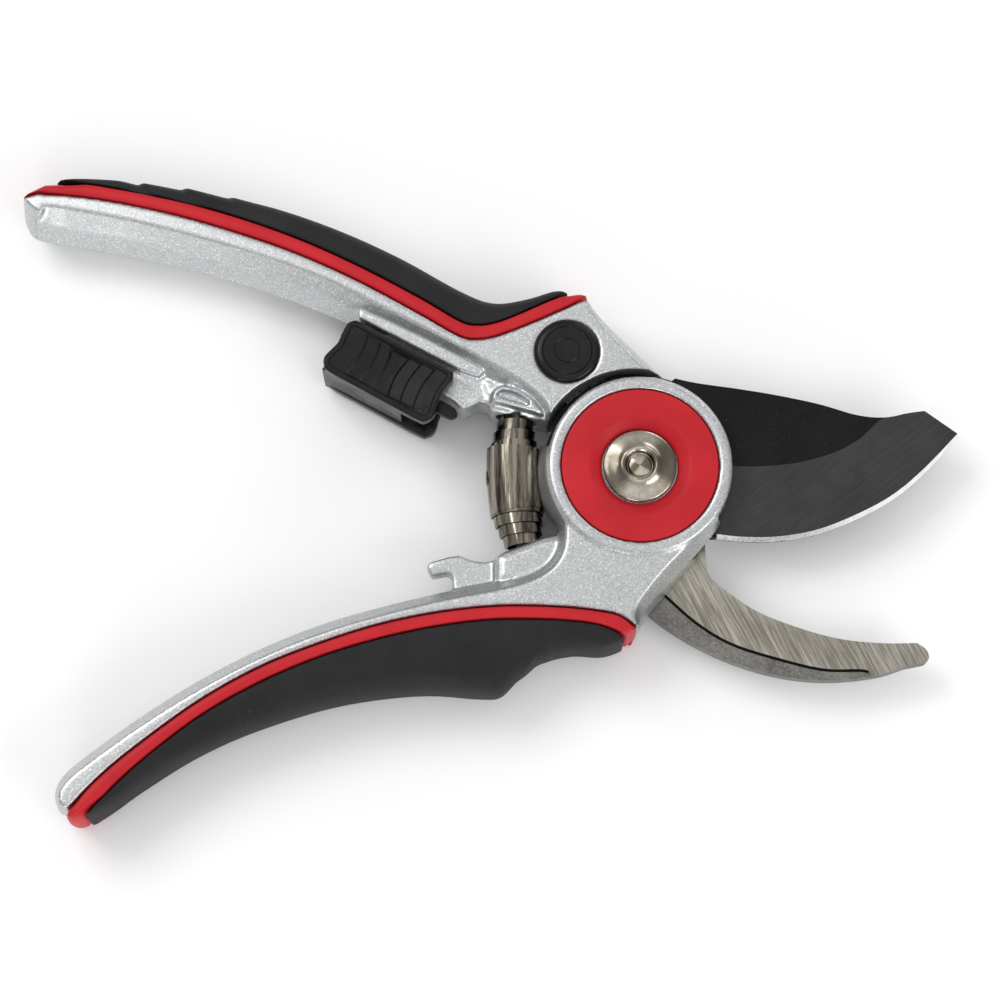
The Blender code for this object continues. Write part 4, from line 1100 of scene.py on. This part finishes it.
buildUpperCasting()
buildLowerCasting()
buildStrip("upperStrip", upperStripOutline(), "upper", "upper_grip_trim")
buildStrip("lowerStrip", lowerStripOutline(), "lower", "lower_grip_trim")
buildGrip("upperGrip", flatInset(smoothLine(seams["upperOuter"])[::-1]) + smoothLine(grip["upperBack"]),
          pressFingerSteps, "upper", "upper_grip_pad")
buildGrip("lowerGrip", flatInset(smoothLine(seams["lowerOuter"])) + smoothLine(grip["lowerBack"]),
          pressThumbNeck, "lower", "lower_grip_pad")
buildCuttingBlade()
buildHook()
buildHubCap("frontCap", heights["frontRing"], -1, "lower", "front_hub_cap")
buildHubCap("rearCap", 0.0, 1, "upper", "rear_hub_cap")
buildBolt()
buildNut()
buildScrewCap("hookScrewCap", hookScrew, heights["frontFace"], -1, "upper", "counter_blade_screw_cap")
buildScrewCap("bladeScrewCap", bladeScrew, heights["rearFace"], 1, "lower", "cutting_blade_screw_cap")
buildLockShell()
buildLockBack()
buildLockTongue()
buildSpring()

for node, material in (("pivot_bush", bronze), ("front_washer", zinc), ("rear_washer", zinc),
                       ("counter_blade_screw", zinc), ("cutting_blade_screw", zinc)):
    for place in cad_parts[node].material_slots:
        place.material = material

# ---- floor, light and camera

studio = {
    "floorSize": 3.0, "floorTone": (0.95, 0.95, 0.955),
    "sky": ((0, 0.52), (0.35, 0.42), (0.7, 0.60), (1, 0.86)),  # height of the direction, brightness
    "camera": (-0.02969, -0.16043, 0.63069), "tilt": 14.0, "lens": 107.59,
    # name, place, aimed at, width and height in m, watts
    "lights": (("keyLight", (-0.55, 0.40, 0.80), (-0.03, 0.0, 0.0), (0.55, 0.45), 3.4),
               ("fillLight", (0.60, -0.50, 0.60), (-0.03, 0.0, 0.0), (0.60, 0.35), 2.4),
               ("tipLight", (-0.22, -0.95, 0.27), (-0.09, 0.04, 0.0), (0.40, 0.20), 2.2),
               ("rimLight", (0.45, 0.75, 0.40), (-0.03, 0.0, 0.0), (0.60, 0.20), 1.0)),
}


def buildStudio():
    floor = started("floor", bpy.ops.mesh.primitive_plane_add, size=studio["floorSize"], location=(0, 0, -0.0003))
    paper = Finish("palePaper", studio["floorTone"], 0.8)
    paper.set("Roughness", paper.noise(6.0, 3.0).between(0.3, 0.7, 0.75, 0.85))
    floor.data.materials.append(paper.material)
    for name, place, aim, size, watts in studio["lights"]:
        lamp = started(name, bpy.ops.object.light_add, type="AREA", location=place)
        lamp.rotation_euler = (Vector(place) - Vector(aim)).to_track_quat("Z", "Y").to_euler()
        lamp.data.shape = "RECTANGLE"
        lamp.data.size, lamp.data.size_y = size
        lamp.data.energy = watts
    world = bpy.data.worlds.new("studioSky")
    world.use_nodes = True
    nodes, links = world.node_tree.nodes, world.node_tree.links
    direction = nodes.new("ShaderNodeTexCoord")
    parts = nodes.new("ShaderNodeSeparateXYZ")
    ramp = nodes.new("ShaderNodeValToRGB")
    for place, (height, level) in enumerate(studio["sky"]):
        stop = ramp.color_ramp.elements[place] if place < 1 else ramp.color_ramp.elements.new(height)
        stop.position, stop.color = height, (level, level, level, 1.0)
    ramp.color_ramp.elements.remove(ramp.color_ramp.elements[-1])
    links.new(direction.outputs["Generated"], parts.inputs[0])
    links.new(parts.outputs["Z"], ramp.inputs[0])
    links.new(ramp.outputs[0], nodes["Background"].inputs["Color"])
    bpy.context.scene.world = world
    bpy.ops.object.camera_add(location=studio["camera"], rotation=(math.radians(studio["tilt"]), 0, 0))
    camera = bpy.context.active_object
    camera.data.lens = studio["lens"]
    camera.data.clip_start, camera.data.clip_end = 0.01, 10
    bpy.context.scene.camera = camera
    bpy.context.scene.view_settings.view_transform = "Standard"


buildStudio()
print("studio made")
